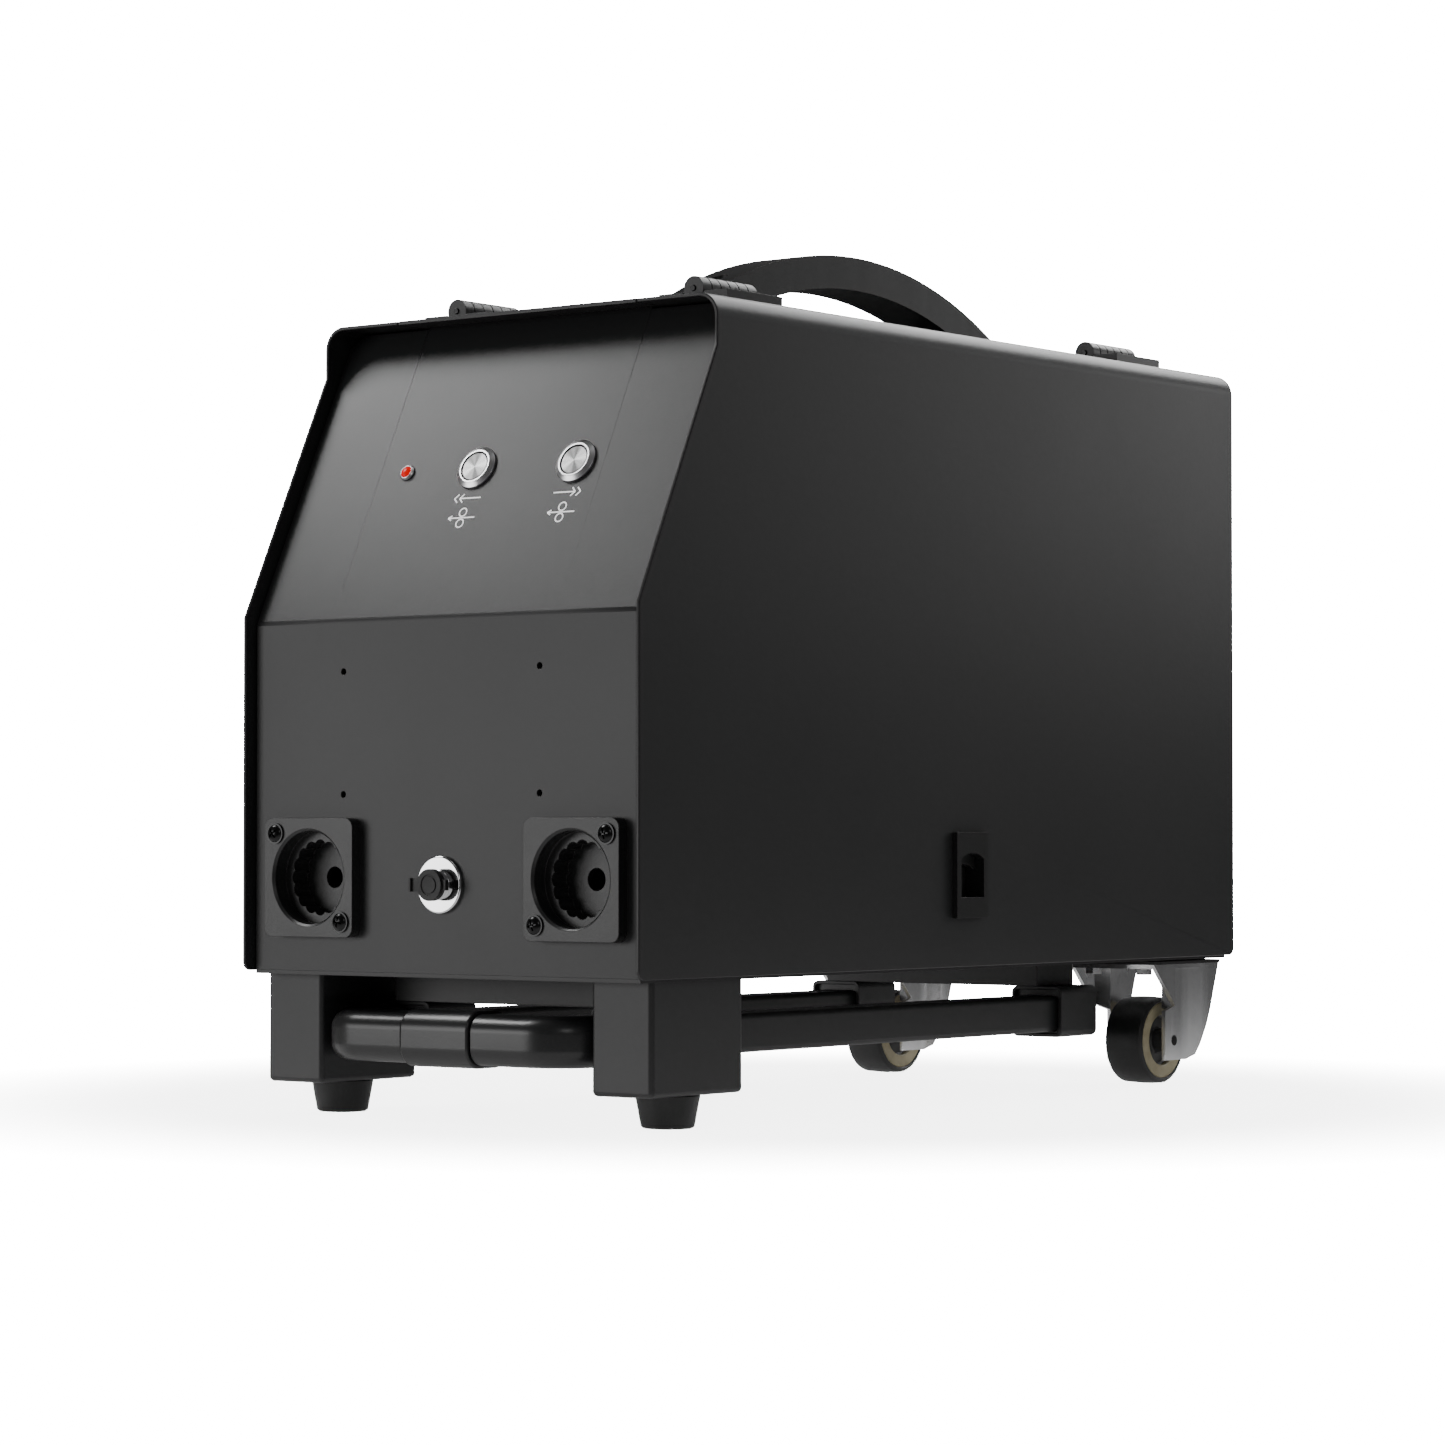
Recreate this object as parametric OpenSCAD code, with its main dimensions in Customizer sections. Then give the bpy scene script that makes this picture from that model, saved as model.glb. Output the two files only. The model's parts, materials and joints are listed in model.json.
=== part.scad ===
// Twin wire feeder: a sheet-metal case on two rubber feet and two casters, with a gull-wing door on each
// side, two wire drives inside, and a pull-out trolley handle under the base.
// Millimetres. +Z up, the control panel faces -Y, the origin is on the floor under the middle of the part.

/* [Case] */
// Width over the two doors
body_w = 260; // [240:1:330]
// Length of the doors and the top
body_l = 551; // [540:1:680]
// Height of the top above the floor
body_top = 409; // [395:1:500]
// Height of the doors' lower edge above the floor
door_bottom = 73.5; // [70:0.5:90]
// Thickness of the sheet metal
sheet = 2; // [1.5:0.1:2.4]
// Outer radius of the long top corners
corner_r = 12; // [8:0.5:20]
// Gap between the chassis side and the door's inner face
door_gap = 2; // [1.5:0.1:4]
// Depth of the front panel behind the doors' front edge
lip = 6; // [5:0.5:10]

/* [Sloped front] */
// Height at which the doors' front edge starts to slope back
slope_start = 254.4; // [240:0.2:290]
// Height at which the slope ends
slope_end = 382.5; // [370:0.5:390]
// Distance that the slope runs back
slope_run = 61.3; // [50:0.1:80]

/* [Panel controls] */
// Distance up the sloped panel to the row of buttons
button_rise = 84.8; // [70:0.2:100]
// Place of the wire feed button across the panel
feed_x = -8.5; // [-20:0.5:10]
// Place of the wire retract button across the panel
retract_x = 56.3; // [40:0.5:70]
// Place of the power lamp across the panel
lamp_x = -55.3; // [-70:0.5:-40]
// Radius of a button's bezel
bezel_r = 11.8; // [11:0.1:14]
// Radius of a button's cap
button_r = 8.2; // [7:0.1:9]
// Travel of a button
button_travel = 1.6; // [1:0.1:2]

/* [Wire sockets] */
// Side of a socket's square flange
socket_side = 60; // [58:0.5:66]
// Thickness of the flange
socket_flange_t = 6.4; // [5:0.2:8]
// Radius of a socket's mouth
socket_r = 23.6; // [21:0.1:24.5]
// Height of the sockets above the floor
socket_z = 121.3; // [115:0.5:140]
// From the chassis side to the left socket's middle
left_socket_inset = 42; // [40:0.5:50]
// From the chassis side to the right socket's middle
right_socket_inset = 38; // [36:0.5:50]

/* [Accessory holes] */
// Radius of the four small holes in the front panel
small_hole_r = 1.7; // [1.5:0.05:2.5]
// Their spacing across
hole_spacing_x = 129; // [100:1:140]
// Their spacing upward
hole_spacing_z = 62; // [50:1:70]
// Height of the middle of the four holes
hole_mid_z = 194.3; // [185:0.5:205]

/* [Control connector] */
// Reach of the dust cap in front of the doors' front edge
cap_reach = 3.6; // [3.6:0.2:8]
// Radius of the connector's round flange
connector_flange_r = 14.4; // [12:0.2:16]
// Radius of the connector's barrel
barrel_r = 7.2; // [6:0.1:9]
// Height of the connector above the floor
connector_z = 118.2; // [110:0.2:130]

/* [Hinges] */
// From the case's side to a hinge's axis
hinge_inset = 51; // [45:0.5:56]
// Height of a hinge's axis above the top
hinge_rise = 9.8; // [9:0.1:12]
// Radius of a hinge's barrel
hinge_r = 6.3; // [5:0.1:6.4]
// Radius of a hinge's pin
hinge_pin_r = 1.6; // [1.2:0.1:2.2]
// Length of a hinge
hinge_l = 46; // [40:1:56]
// From the front edge of the case to the front hinges
front_hinge_y = 107.3; // [100:0.5:120]
// From the rear edge of the case back to the end of the rear hinges
rear_hinge_inset = 33; // [30:0.5:50]
// Number of knuckles on a hinge
knuckles = 6; // [4:2:8]

/* [Carry handle] */
// Height of the grip's crown above the top
handle_rise = 55; // [50:0.5:65]
// Outer radius of the arch
handle_outer_r = 284; // [270:1:300]
// Inner radius of the arch
handle_inner_r = 270; // [260:1:280]
// Thickness of the grip at its crown
handle_t = 18.5; // [16:0.5:22]
// Width of the grip
handle_w = 30; // [24:0.5:36]
// Middle of the arch, from the front edge of the case
handle_mid_y = 338; // [320:1:380]

/* [Feet] */
// Width of a leg block
leg_w = 37.7; // [32:0.1:38]
// Length of a leg block
leg_l = 72.4; // [60:0.2:90]
// From the front edge to a leg block
leg_y = 14.9; // [12:0.1:20]
// Height of a rubber foot below its block
foot_h = 16.5; // [12:0.5:20]
// Radius of a rubber foot at its top
foot_top_r = 16; // [13:0.2:17]
// Radius of a rubber foot at the floor
foot_floor_r = 13.2; // [10:0.2:13.8]

/* [Casters] */
// Radius of a caster's wheel
wheel_r = 25; // [22:0.5:26]
// Width of the tyre
wheel_w = 25; // [20:0.2:26]
// From the case's side to the middle of a wheel
wheel_inset = 38.5; // [38:0.1:41]
// From the rear edge of the case to the axle
axle_inset = 35.5; // [35.5:0.1:44]
// Radius of the axle
axle_r = 3; // [2.5:0.1:4]

/* [Trolley handle] */
// From the middle of the case to a rail's middle
rail_x = 70; // [64:0.5:71]
// Width of a rail
rail_w = 25; // [22:0.5:26]
// Height of a rail
rail_h = 20; // [18:0.5:21]
// Height of the rails' middle above the floor
rail_z = 42; // [40:0.5:44]
// Wall of a rail
rail_wall = 1.6; // [1.2:0.1:2]
// Clearance of the inner tube in its rail, on each side
tube_clearance = 0.35; // [0.3:0.05:0.8]
// Depth of the grip bar
grip_d = 30; // [26:0.5:34]
// Height of the grip bar
grip_h = 25.5; // [24:0.5:28]
// Travel of the trolley handle
trolley_travel = 330; // [200:5:335]

/* [Latches] */
// Height of a latch plate
latch_h = 45; // [40:0.5:52]
// Length of a latch plate along the door
latch_l = 29; // [26:0.5:34]
// Middle of a latch, from the front edge
latch_y = 277.8; // [250:1:320]
// Height of a latch's middle above the floor
latch_z = 121.7; // [115:0.5:135]
// Travel of the latch's tongue
latch_travel = 6; // [4:0.5:7]

/* [Wire drive] */
// Radius of a drive roll
roll_r = 15; // [13:0.5:17]
// Width of a drive roll
roll_w = 11; // [9:0.5:14]
// Gap between the rolls for the wire
wire_gap = 1.2; // [0.8:0.1:1.6]
// Middle of the rolls, from the front edge
roll_y = 138; // [130:1:150]
// Radius of the spool hub
hub_r = 25; // [22:0.5:26]
// Radius of the shaft that the hub turns on
hub_shaft_r = 9; // [7:0.5:12]
// Radial running clearance of the turning pieces
run_gap = 0.06; // [0.04:0.01:0.1]

/* [Hidden] */
$fn = 48;
cut = 1;                                             // how far a cut runs past a face
fit = 0.08;                                          // play between pieces that are pushed together

half_w = body_w / 2;
frame_half = half_w - sheet - door_gap;              // half the chassis width
hinge_x = half_w - hinge_inset;
hinge_z = body_top + hinge_rise;
seam_gap = 0.8;                                      // between a door and the top strip
front_y = -(body_l - cap_reach) / 2;                 // the case's front edge in the part's own frame
tray_z = door_bottom - 1.5;                          // underside of the base tray
tray_top = tray_z + sheet;
tilt = atan(slope_run / (slope_end - slope_start));
seam_z = slope_start - 3.2;                          // where the front panel bends
strip_under = body_top - sheet;                      // underside of the top
panel_top = strip_under - 1;                         // the chassis stays this far below the doors' tops
strip_support = hinge_x - 5;
tray_flange = 14;
partition_half = 1;
rear_y = body_l - 4;                                 // outer face of the rear panel

left_socket_x = left_socket_inset - frame_half;
right_socket_x = frame_half - right_socket_inset;
socket_cup_r = socket_r + 2.4;
socket_depth = 24;                                   // flange face to the outside of the cup's floor
socket_floor = 4;
scallops = 16;
socket_screw_off = 22.3;
socket_face_y = lip - socket_flange_t;

wheel_x = half_w - wheel_inset;
axle_y = body_l - axle_inset;
leg_inner_x = frame_half - leg_w;
leg_h = tray_z - foot_h;
foot_x = frame_half - leg_w / 2;
foot_y = leg_y + leg_l / 2;

sleeve_wall = 2;
sleeve_gap = 2.3;                                    // between a rail and its sleeve, filled by the liner
sleeve_l = 36.7;
sleeve_w = rail_w + 2 * (sleeve_gap + sleeve_wall);
sleeve_h = rail_h + 2 * (sleeve_gap + sleeve_wall);
sleeve_top = rail_z + sleeve_h / 2 + 1.2;
rear_sleeve_y = body_l - 116.3;
front_sleeve_y = 57.5;
cross_l = 37.5;
cross_inset = 4;                                     // the cross members start this far ahead of the sleeves
rail_front = 53;
rail_rear = rear_sleeve_y + sleeve_l - 2;
tube_w = rail_w - 2 * (rail_wall + tube_clearance);
tube_h = rail_h - 2 * (rail_wall + tube_clearance);
grip_leg_end = 49;
grip_y = 1.2;
grip_spread = 1.4;                                   // from the rails' middle out to the grip's legs
grip_bend = 16;                                      // centre-line radius of the grip's corners
grip_edge_r = 9;
grip_button_w = 44;
core_d = grip_d - 10;
core_h = grip_h - 7;
grip_mid_y = grip_y + grip_d / 2;
grip_button_travel = 3;

wheel_side_gap = 4.7;
fork_sheet = 2.5;
fork_flare = 8.7;                                    // how far a leg's flanges stand outside its web
fork_web_x = wheel_w / 2 + wheel_side_gap;           // inner face of a leg's web, from the wheel's middle
caster_plate_t = 1.8;
caster_plate_z = tray_z - caster_plate_t - 1;
fork_front = 36;                                     // the fork's top runs this far ahead of the axle
fork_back = 35;                                      // and this far behind it

drive_plane = right_socket_x;                        // both drives feed straight into their sockets
plate_gap = 9;
feed_plate_t = 6;
arm_t = 8;
arm_pivot_y = roll_y + 34;
arm_pivot_r = 4;
hub_y = body_l - 164;
hub_z = 238;
hub_l = 104;

hole_mid_x = -1.3;

body_black = [0.13, 0.13, 0.135];
plastic_black = [0.08, 0.08, 0.085];
rubber_black = [0.05, 0.05, 0.05];
zinc = [0.82, 0.82, 0.84];
steel = [0.7, 0.7, 0.72];

function side_socket_x(side) = side > 0 ? right_socket_x : -left_socket_x;

// Shared helpers ------------------------------------------------------------------------------------

// Moves a piece drawn from the case's front edge into the part's own frame
module placed() translate([0, front_y, 0]) children();

// Draws a right-hand piece on the side asked for: 1 right, -1 left
module on_side(side) {
    if (side > 0) children();
    else mirror([1, 0, 0]) children();
}

module both_sides() for (side = [1, -1]) on_side(side) children();

// Extrudes an outline drawn in X and Z along Y
module along_y(y, length) translate([0, y + length, 0]) rotate([90, 0, 0]) linear_extrude(length) children();

// Extrudes an outline drawn in Y and Z along X
module along_x(x, length) translate([x, 0, 0]) rotate([90, 0, 90]) linear_extrude(length) children();

// Stands a piece on the sloped panel: its Z points out of the panel
module on_slope(x, rise) translate([x, lip + rise * sin(tilt), seam_z + rise * cos(tilt)])
    rotate([90 - tilt, 0, 0]) children();

// Stands a piece on an upright front face: its Z points forward
module facing_front(x, y, z) translate([x, y, z]) rotate([90, 0, 0]) children();

// A shaft or hole along X
module rod_x(x, length, r) translate([x, 0, 0]) rotate([0, 90, 0]) cylinder(h = length, r = r);

module box(low, high) translate(low) cube(high - low);

module rounded_rect(w, h, r) {
    square([w - 2 * r, h], center = true);
    square([w, h - 2 * r], center = true);
    for (x = [-1, 1], y = [-1, 1]) translate([x * (w / 2 - r), y * (h / 2 - r)]) circle(r);
}

module rounded_ring(w, h, r, wall) difference() {
    rounded_rect(w, h, r);
    rounded_rect(w - 2 * wall, h - 2 * wall, max(r - wall, 0.3));
}

// Case -----------------------------------------------------------------------------------------------

module top_corner_outline(low_x, high_x, high_z, r) {
    translate([low_x, door_bottom]) square([high_x - low_x - r, high_z - door_bottom]);
    translate([low_x, door_bottom]) square([high_x - low_x, high_z - door_bottom - r]);
    translate([high_x - r, high_z - r]) circle(r);
}

module side_profile() {
    r = 4.5;
    difference() {
        polygon([[0, door_bottom], [body_l, door_bottom], [body_l, body_top + cut],
            [slope_run, body_top + cut], [slope_run, slope_end], [0, slope_start]]);
        translate([-cut, door_bottom - cut]) square([r + cut, r + cut]);
        translate([body_l - r, door_bottom - cut]) square([r + cut, r + cut]);
    }
    translate([r, door_bottom + r]) circle(r);
    translate([body_l - r, door_bottom + r]) circle(r);
}

// The latch's cut-out in the door, with room for the tongue's hook
module latch_cutout() box([half_w - sheet - cut, latch_y - latch_l / 2 + 3, latch_z - latch_h / 2 + 4],
    [half_w + cut, latch_y + latch_l / 2 - 3, latch_z + latch_h / 2 - 4]);

module door(side) color(body_black) placed() on_side(side) difference() {
    intersection() {
        along_y(0, body_l) difference() {
            top_corner_outline(hinge_x + seam_gap / 2, half_w, body_top, corner_r);
            translate([-sheet, -cut])
                top_corner_outline(hinge_x, half_w, body_top - sheet + cut, corner_r - sheet);
        }
        along_x(hinge_x, hinge_inset + cut) side_profile();
    }
    latch_cutout();
}

module left_door() door(-1);
module right_door() door(1);

module top_strip() color(body_black) placed()
    difference() {
        box([-(hinge_x - seam_gap / 2), slope_run, strip_under], [hinge_x - seam_gap / 2, body_l, body_top]);
        for (end = [-1, 1]) translate([0, handle_mid_y + end * handle_screw_off, strip_under - cut])
            cylinder(h = sheet + 2 * cut, r = 2.6);
    }

module base_tray() color(body_black) placed() {
    difference() {
        box([-frame_half, lip, tray_z], [frame_half, rear_y, tray_top]);
        for (side = [1, -1]) at_casters(side) plate_bolt_holes();
        both_sides() translate([foot_x, foot_y, tray_z - cut]) cylinder(h = sheet + 2 * cut, r = 3.2);
    }
    both_sides() box([frame_half - sheet, lip + 13, tray_top],
        [frame_half, rear_y - sheet, tray_top + tray_flange]);
}

// Takes off the chassis corners that would meet the doors' bends
module corner_trim() {
    trim = corner_r / 2 + 1;
    both_sides() along_y(-cut, body_l + 2 * cut) polygon([[frame_half - trim, panel_top + cut],
        [frame_half + cut, panel_top + cut], [frame_half + cut, panel_top - trim],
        [frame_half, panel_top - trim], [frame_half - trim, panel_top]]);
}

function slope_y(z) = lip + (z - seam_z) * tan(tilt);

// The front panel's outline up to the height asked for, t deep behind its outer face
module panel_outline(t, top) polygon([[lip, tray_top], [lip, seam_z], [slope_y(top), top],
    [slope_y(top) + t / cos(tilt), top], [lip + t, seam_z - t * tan(tilt / 2)], [lip + t, tray_top]]);

module front_panel() color(body_black) placed() difference() {
    union() {
        along_x(-frame_half, 2 * frame_half) panel_outline(sheet, panel_top);
        both_sides() along_x(frame_half - sheet, sheet) panel_outline(12, panel_top);
        along_x(-strip_support, 2 * strip_support) panel_outline(sheet, strip_under);
        box([-strip_support, slope_y(strip_under), strip_under - sheet],
            [strip_support, slope_y(strip_under) + 16, strip_under]);
    }
    corner_trim();
    for (x = [-0.5, 0.5], z = [-0.5, 0.5])
        facing_front(hole_mid_x + x * hole_spacing_x, lip + 12 + cut, hole_mid_z + z * hole_spacing_z)
            cylinder(h = 12 + 2 * cut, r = small_hole_r);
    for (x = [left_socket_x, right_socket_x])
        facing_front(x, lip + sheet + cut, socket_z) cylinder(h = sheet + 2 * cut, r = socket_cup_r + 0.3);
    facing_front(0, lip + sheet + cut, connector_z) cylinder(h = sheet + 2 * cut, r = barrel_r + 0.2);
    for (x = [feed_x, retract_x]) on_slope(x, button_rise) translate([0, 0, -sheet - cut])
        cylinder(h = sheet + 2 * cut, r = button_body_r + 0.2);
    on_slope(lamp_x, button_rise) translate([0, 0, -sheet - cut])
        cylinder(h = sheet + 2 * cut, r = lamp_body_r + 0.2);
}

module rear_panel() color(body_black) placed() difference() {
    union() {
        box([-frame_half, rear_y - sheet, tray_top], [frame_half, rear_y, panel_top]);
        both_sides() box([frame_half - sheet, rear_y - 12, tray_top + tray_flange],
            [frame_half, rear_y - sheet, panel_top]);
        box([-strip_support, rear_y - sheet, panel_top], [strip_support, rear_y, strip_under]);
        box([-strip_support, rear_y - 14, strip_under - sheet], [strip_support, rear_y, strip_under]);
    }
    corner_trim();
    for (side = [-1, 1], row = [0:6])
        translate([side * frame_half / 2, rear_y, tray_top + 45 + 11 * row]) vent_slot();
}

module vent_slot() {
    slot_l = 56;
    slot_h = 4;
    box([-slot_l / 2, -sheet - cut, -slot_h / 2], [slot_l / 2, cut, slot_h / 2]);
    for (x = [-1, 1]) translate([x * slot_l / 2, cut, 0]) rotate([90, 0, 0])
        cylinder(h = sheet + 2 * cut, r = slot_h / 2);
}

module partition() color(steel) placed() difference() {
    along_x(-partition_half, 2 * partition_half) polygon([[lip + 44, tray_top], [rear_y - sheet, tray_top],
        [rear_y - sheet, strip_under - sheet], [rear_y - 14, strip_under - sheet],
        [rear_y - 14, strip_under], [slope_y(strip_under) + 44, strip_under], [lip + 44, seam_z]]);
    along_x(-partition_half - cut, 2 * (partition_half + cut)) translate([lip + 54, tray_top + 20])
        square([20, 30]);
    for (end = [-1, 1]) translate([0, handle_mid_y + end * handle_screw_off, strip_under])
        cube([8, 12, 12], center = true);
}

// Panel fittings -------------------------------------------------------------------------------------

button_body_r = 9.5;
lamp_body_r = 3.6;
bezel_h = 2.6;
lamp_bezel_r = 4.4;

module button_bezel() difference() {
    union() {
        rotate_extrude() polygon([[0, 0], [bezel_r, 0], [bezel_r, bezel_h - 1.4], [bezel_r - 2.4, bezel_h],
            [0, bezel_h]]);
        translate([0, 0, -22]) cylinder(h = 22, r = button_body_r);
    }
    translate([0, 0, -5]) cylinder(h = 5 + bezel_h + cut, r = button_r + 0.15);
}

module lamp_bezel() difference() {
    union() {
        rotate_extrude() polygon([[0, 0], [lamp_bezel_r, 0], [lamp_bezel_r, 0.8],
            [lamp_bezel_r - 0.8, 1.6], [0, 1.6]]);
        translate([0, 0, -16]) cylinder(h = 16, r = lamp_body_r);
    }
    translate([0, 0, -3]) cylinder(h = 6, r = lamp_body_r - 0.4);
}

module panel_bezels() color(zinc) placed() {
    for (x = [feed_x, retract_x]) on_slope(x, button_rise) button_bezel();
    on_slope(lamp_x, button_rise) lamp_bezel();
}

module lamp_lens() color([0.8, 0.05, 0.05]) placed() on_slope(lamp_x, button_rise) {
    translate([0, 0, -2.9]) cylinder(h = 4.2, r = lamp_body_r - 0.5);
    translate([0, 0, 1.2]) rotate_extrude() polygon([[0, 0], [3, 0], [2.7, 0.7], [1.7, 1.3], [0, 1.5]]);
}

module button_cap() translate([0, 0, -2]) rotate_extrude() polygon([[0, 0], [button_r, 0],
    [button_r, 2 + bezel_h - 0.9], [button_r - 0.5, 2 + bezel_h - 0.4], [0, 2 + bezel_h - 0.4]]);

module feed_button() color(zinc) placed() on_slope(feed_x, button_rise) button_cap();
module retract_button() color(zinc) placed() on_slope(retract_x, button_rise) button_cap();

module scallop_outline() {
    circle(17);
    for (i = [0:scallops - 1]) rotate(i * 360 / scallops) translate([15.2, 0]) circle(4);
}

// A socket: its local Z points forward from the front panel's face
module socket_body(lean) difference() {
    union() {
        linear_extrude(socket_flange_t) rounded_rect(socket_side, socket_side, 5);
        translate([0, 0, socket_flange_t - socket_depth]) cylinder(h = socket_depth - cut, r = socket_cup_r);
    }
    translate([0, 0, socket_flange_t - 9]) cylinder(h = 9 + cut, r = socket_r);
    translate([0, 0, socket_flange_t - 1.2]) rotate_extrude() polygon([[0, 0], [socket_r, 0],
        [socket_r + 1.6, 1.6], [0, 1.6]]);
    translate([0, 0, socket_flange_t - socket_depth + socket_floor]) linear_extrude(socket_depth)
        scallop_outline();
    translate([0, 0, -socket_depth]) cylinder(h = socket_depth, r = 5.4);
    for (k = [-1, 1]) translate([lean * k * socket_screw_off, k * socket_screw_off, -cut])
        cylinder(h = socket_flange_t + 2 * cut, r = 2.05);
}

module left_socket() color(plastic_black) placed()
    facing_front(left_socket_x, lip, socket_z) socket_body(-1);
module right_socket() color(plastic_black) placed()
    facing_front(right_socket_x, lip, socket_z) socket_body(1);

// A pan-head screw with a washer and a cross recess; its local Z points out of the work
module pan_screw(head_r, shank_r, shank_l) difference() {
    union() {
        rotate_extrude() polygon([[0, 0], [head_r, 0], [head_r, 0.8], [head_r * 0.86, 0.9],
            [head_r * 0.82, 1.8], [head_r * 0.6, 2.7], [head_r * 0.3, 3.1], [0, 3.2]]);
        translate([0, 0, -shank_l]) cylinder(h = shank_l, r = shank_r);
    }
    for (a = [0, 90]) rotate(a) translate([-head_r * 0.5, -0.5, 2]) cube([head_r, 1, 2]);
}

module socket_screws() color([0.1, 0.1, 0.1]) placed()
    for (s = [[left_socket_x, -1], [right_socket_x, 1]], k = [-1, 1])
        facing_front(s[0] + s[1] * k * socket_screw_off, socket_face_y, socket_z + k * socket_screw_off)
            pan_screw(5, 2, 5.6);

barrel_l = lip + cap_reach - 1.2;

module control_connector() color(zinc) placed() facing_front(0, lip, connector_z) difference() {
    union() {
        rotate_extrude() polygon([[0, 0], [connector_flange_r, 0], [connector_flange_r, 1.8],
            [connector_flange_r - 0.6, 2.4], [0, 2.4]]);
        translate([0, 0, -12]) cylinder(h = 12 + barrel_l, r = barrel_r);
        translate([0, 0, -sheet - 3]) cylinder(h = 3, r = barrel_r + 3);
    }
    translate([0, 0, 4]) cylinder(h = barrel_l, r = barrel_r - 1.6);
}

// The cap is a cup over the connector's barrel, with a finger tab and a strap lug
module dust_cap() color(rubber_black) placed() facing_front(0, lip, connector_z) {
    cap_end = lip + cap_reach;
    cap_start = cap_end - 3.6;
    difference() {
        union() {
            translate([0, 0, cap_start]) cylinder(h = cap_end - cap_start, r = barrel_r + 0.7);
            box([-13.6, -3.4, cap_end - 3.4], [-5, 3.4, cap_end - 1.6]);
            box([-13.6, -3.4, cap_end - 3.4], [-12.4, 3.4, cap_end - 0.4]);
            box([5, -2.6, cap_start], [10, 2.6, cap_end - 1.2]);
        }
        translate([0, 0, cap_start - cut])
            cylinder(h = barrel_l - cap_start + cut + 0.3, r = barrel_r + 0.05);
        translate([0, 0, cap_end - 0.5]) difference() {
            cylinder(h = 1, r = 5.2);
            translate([0, 0, -cut]) cylinder(h = 3, r = 4.2);
        }
    }
}

// Hinges ----------------------------------------------------------------------------------------------

hinge_starts = [front_hinge_y, body_l - rear_hinge_inset - hinge_l];
knuckle_l = hinge_l / knuckles;
knuckle_gap = 0.7;
leaf_t = 2.5;
leaf_w = 22;
block_t = 8;

// One leaf of a hinge: side 1 is the door's leaf; which says which knuckles it has
module hinge_leaf(side, which, bore_r) difference() {
    union() {
        box([side > 0 ? 1.6 : -leaf_w, 0, -hinge_rise],
            [side > 0 ? leaf_w : -1.6, hinge_l, leaf_t - hinge_rise]);
        box([side > 0 ? hinge_r + 0.5 : -leaf_w, 0, -hinge_rise],
            [side > 0 ? leaf_w : -hinge_r - 0.5, hinge_l, block_t - hinge_rise]);
        for (k = [which:2:knuckles - 1]) {
            start = k * knuckle_l + knuckle_gap / 2;
            translate([0, start, 0]) rotate([-90, 0, 0]) cylinder(h = knuckle_l - knuckle_gap, r = hinge_r);
            box([side > 0 ? 0.9 : -hinge_r, start, -hinge_rise],
                [side > 0 ? hinge_r : -0.9, start + knuckle_l - knuckle_gap, 0]);
        }
    }
    translate([0, -cut, 0]) rotate([-90, 0, 0]) cylinder(h = hinge_l + 2 * cut, r = bore_r);
}

module at_hinges(side) on_side(side) for (y = hinge_starts) translate([hinge_x, y, hinge_z]) children();

module fixed_hinge_leaves() color(plastic_black) placed()
    for (side = [1, -1]) at_hinges(side) hinge_leaf(-1, 0, hinge_pin_r + 0.02);
module left_door_leaves() color(plastic_black) placed()
    at_hinges(-1) hinge_leaf(1, 1, hinge_pin_r + run_gap);
module right_door_leaves() color(plastic_black) placed()
    at_hinges(1) hinge_leaf(1, 1, hinge_pin_r + run_gap);

module hinge_pins() color(steel) placed() for (side = [1, -1]) at_hinges(side)
    translate([0, -0.4, 0]) rotate([-90, 0, 0]) cylinder(h = hinge_l + 0.8, r = hinge_pin_r);

// Carry handle ----------------------------------------------------------------------------------------

crown_z = body_top + handle_rise;

module carry_handle() color(plastic_black) placed() difference() {
    along_x(-handle_w / 2, handle_w) difference() {
        translate([handle_mid_y, crown_z - handle_outer_r]) circle(handle_outer_r, $fn = 96);
        intersection() {
            translate([handle_mid_y, crown_z - handle_t - handle_inner_r]) circle(handle_inner_r, $fn = 96);
            translate([handle_mid_y - hand_gap_l / 2, body_top - cut]) square([hand_gap_l, handle_rise]);
        }
        translate([handle_mid_y - handle_outer_r - cut, crown_z - 2 * handle_outer_r - cut])
            square([2 * (handle_outer_r + cut), 2 * handle_outer_r + cut - handle_rise]);
    }
    for (end = [-1, 1]) translate([0, handle_mid_y + end * handle_screw_off, body_top - cut]) {
        cylinder(h = handle_rise, r = 2.6);
        translate([0, 0, 12]) cylinder(h = handle_rise, r = 5);
    }
}

handle_screw_off = 106.5;
hand_gap_l = 192;

module handle_screws() color(steel) placed() for (end = [-1, 1])
    translate([0, handle_mid_y + end * handle_screw_off, body_top + 11]) pan_screw(4.6, 2.5, 11 + sheet + 4);

// Feet ------------------------------------------------------------------------------------------------

module leg_blocks() color(body_black) placed() both_sides() difference() {
    box([leg_inner_x, leg_y, foot_h], [frame_half, leg_y + leg_l, tray_z]);
    box([leg_inner_x + sheet, leg_y + sheet, foot_h + sheet],
        [frame_half - sheet, leg_y + leg_l - sheet, tray_z + cut]);
    translate([foot_x, foot_y, foot_h - cut]) cylinder(h = sheet + 2 * cut, r = 3.2);
}

module rubber_feet() color(rubber_black) placed() both_sides() translate([foot_x, foot_y, 0]) {
    rotate_extrude() polygon([[0, 0], [foot_floor_r - 1.2, 0], [foot_floor_r, 1.2],
        [foot_top_r, foot_h], [0, foot_h]]);
    translate([0, 0, foot_h]) cylinder(h = 12, r = 3);
}

// Trolley handle --------------------------------------------------------------------------------------

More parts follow.
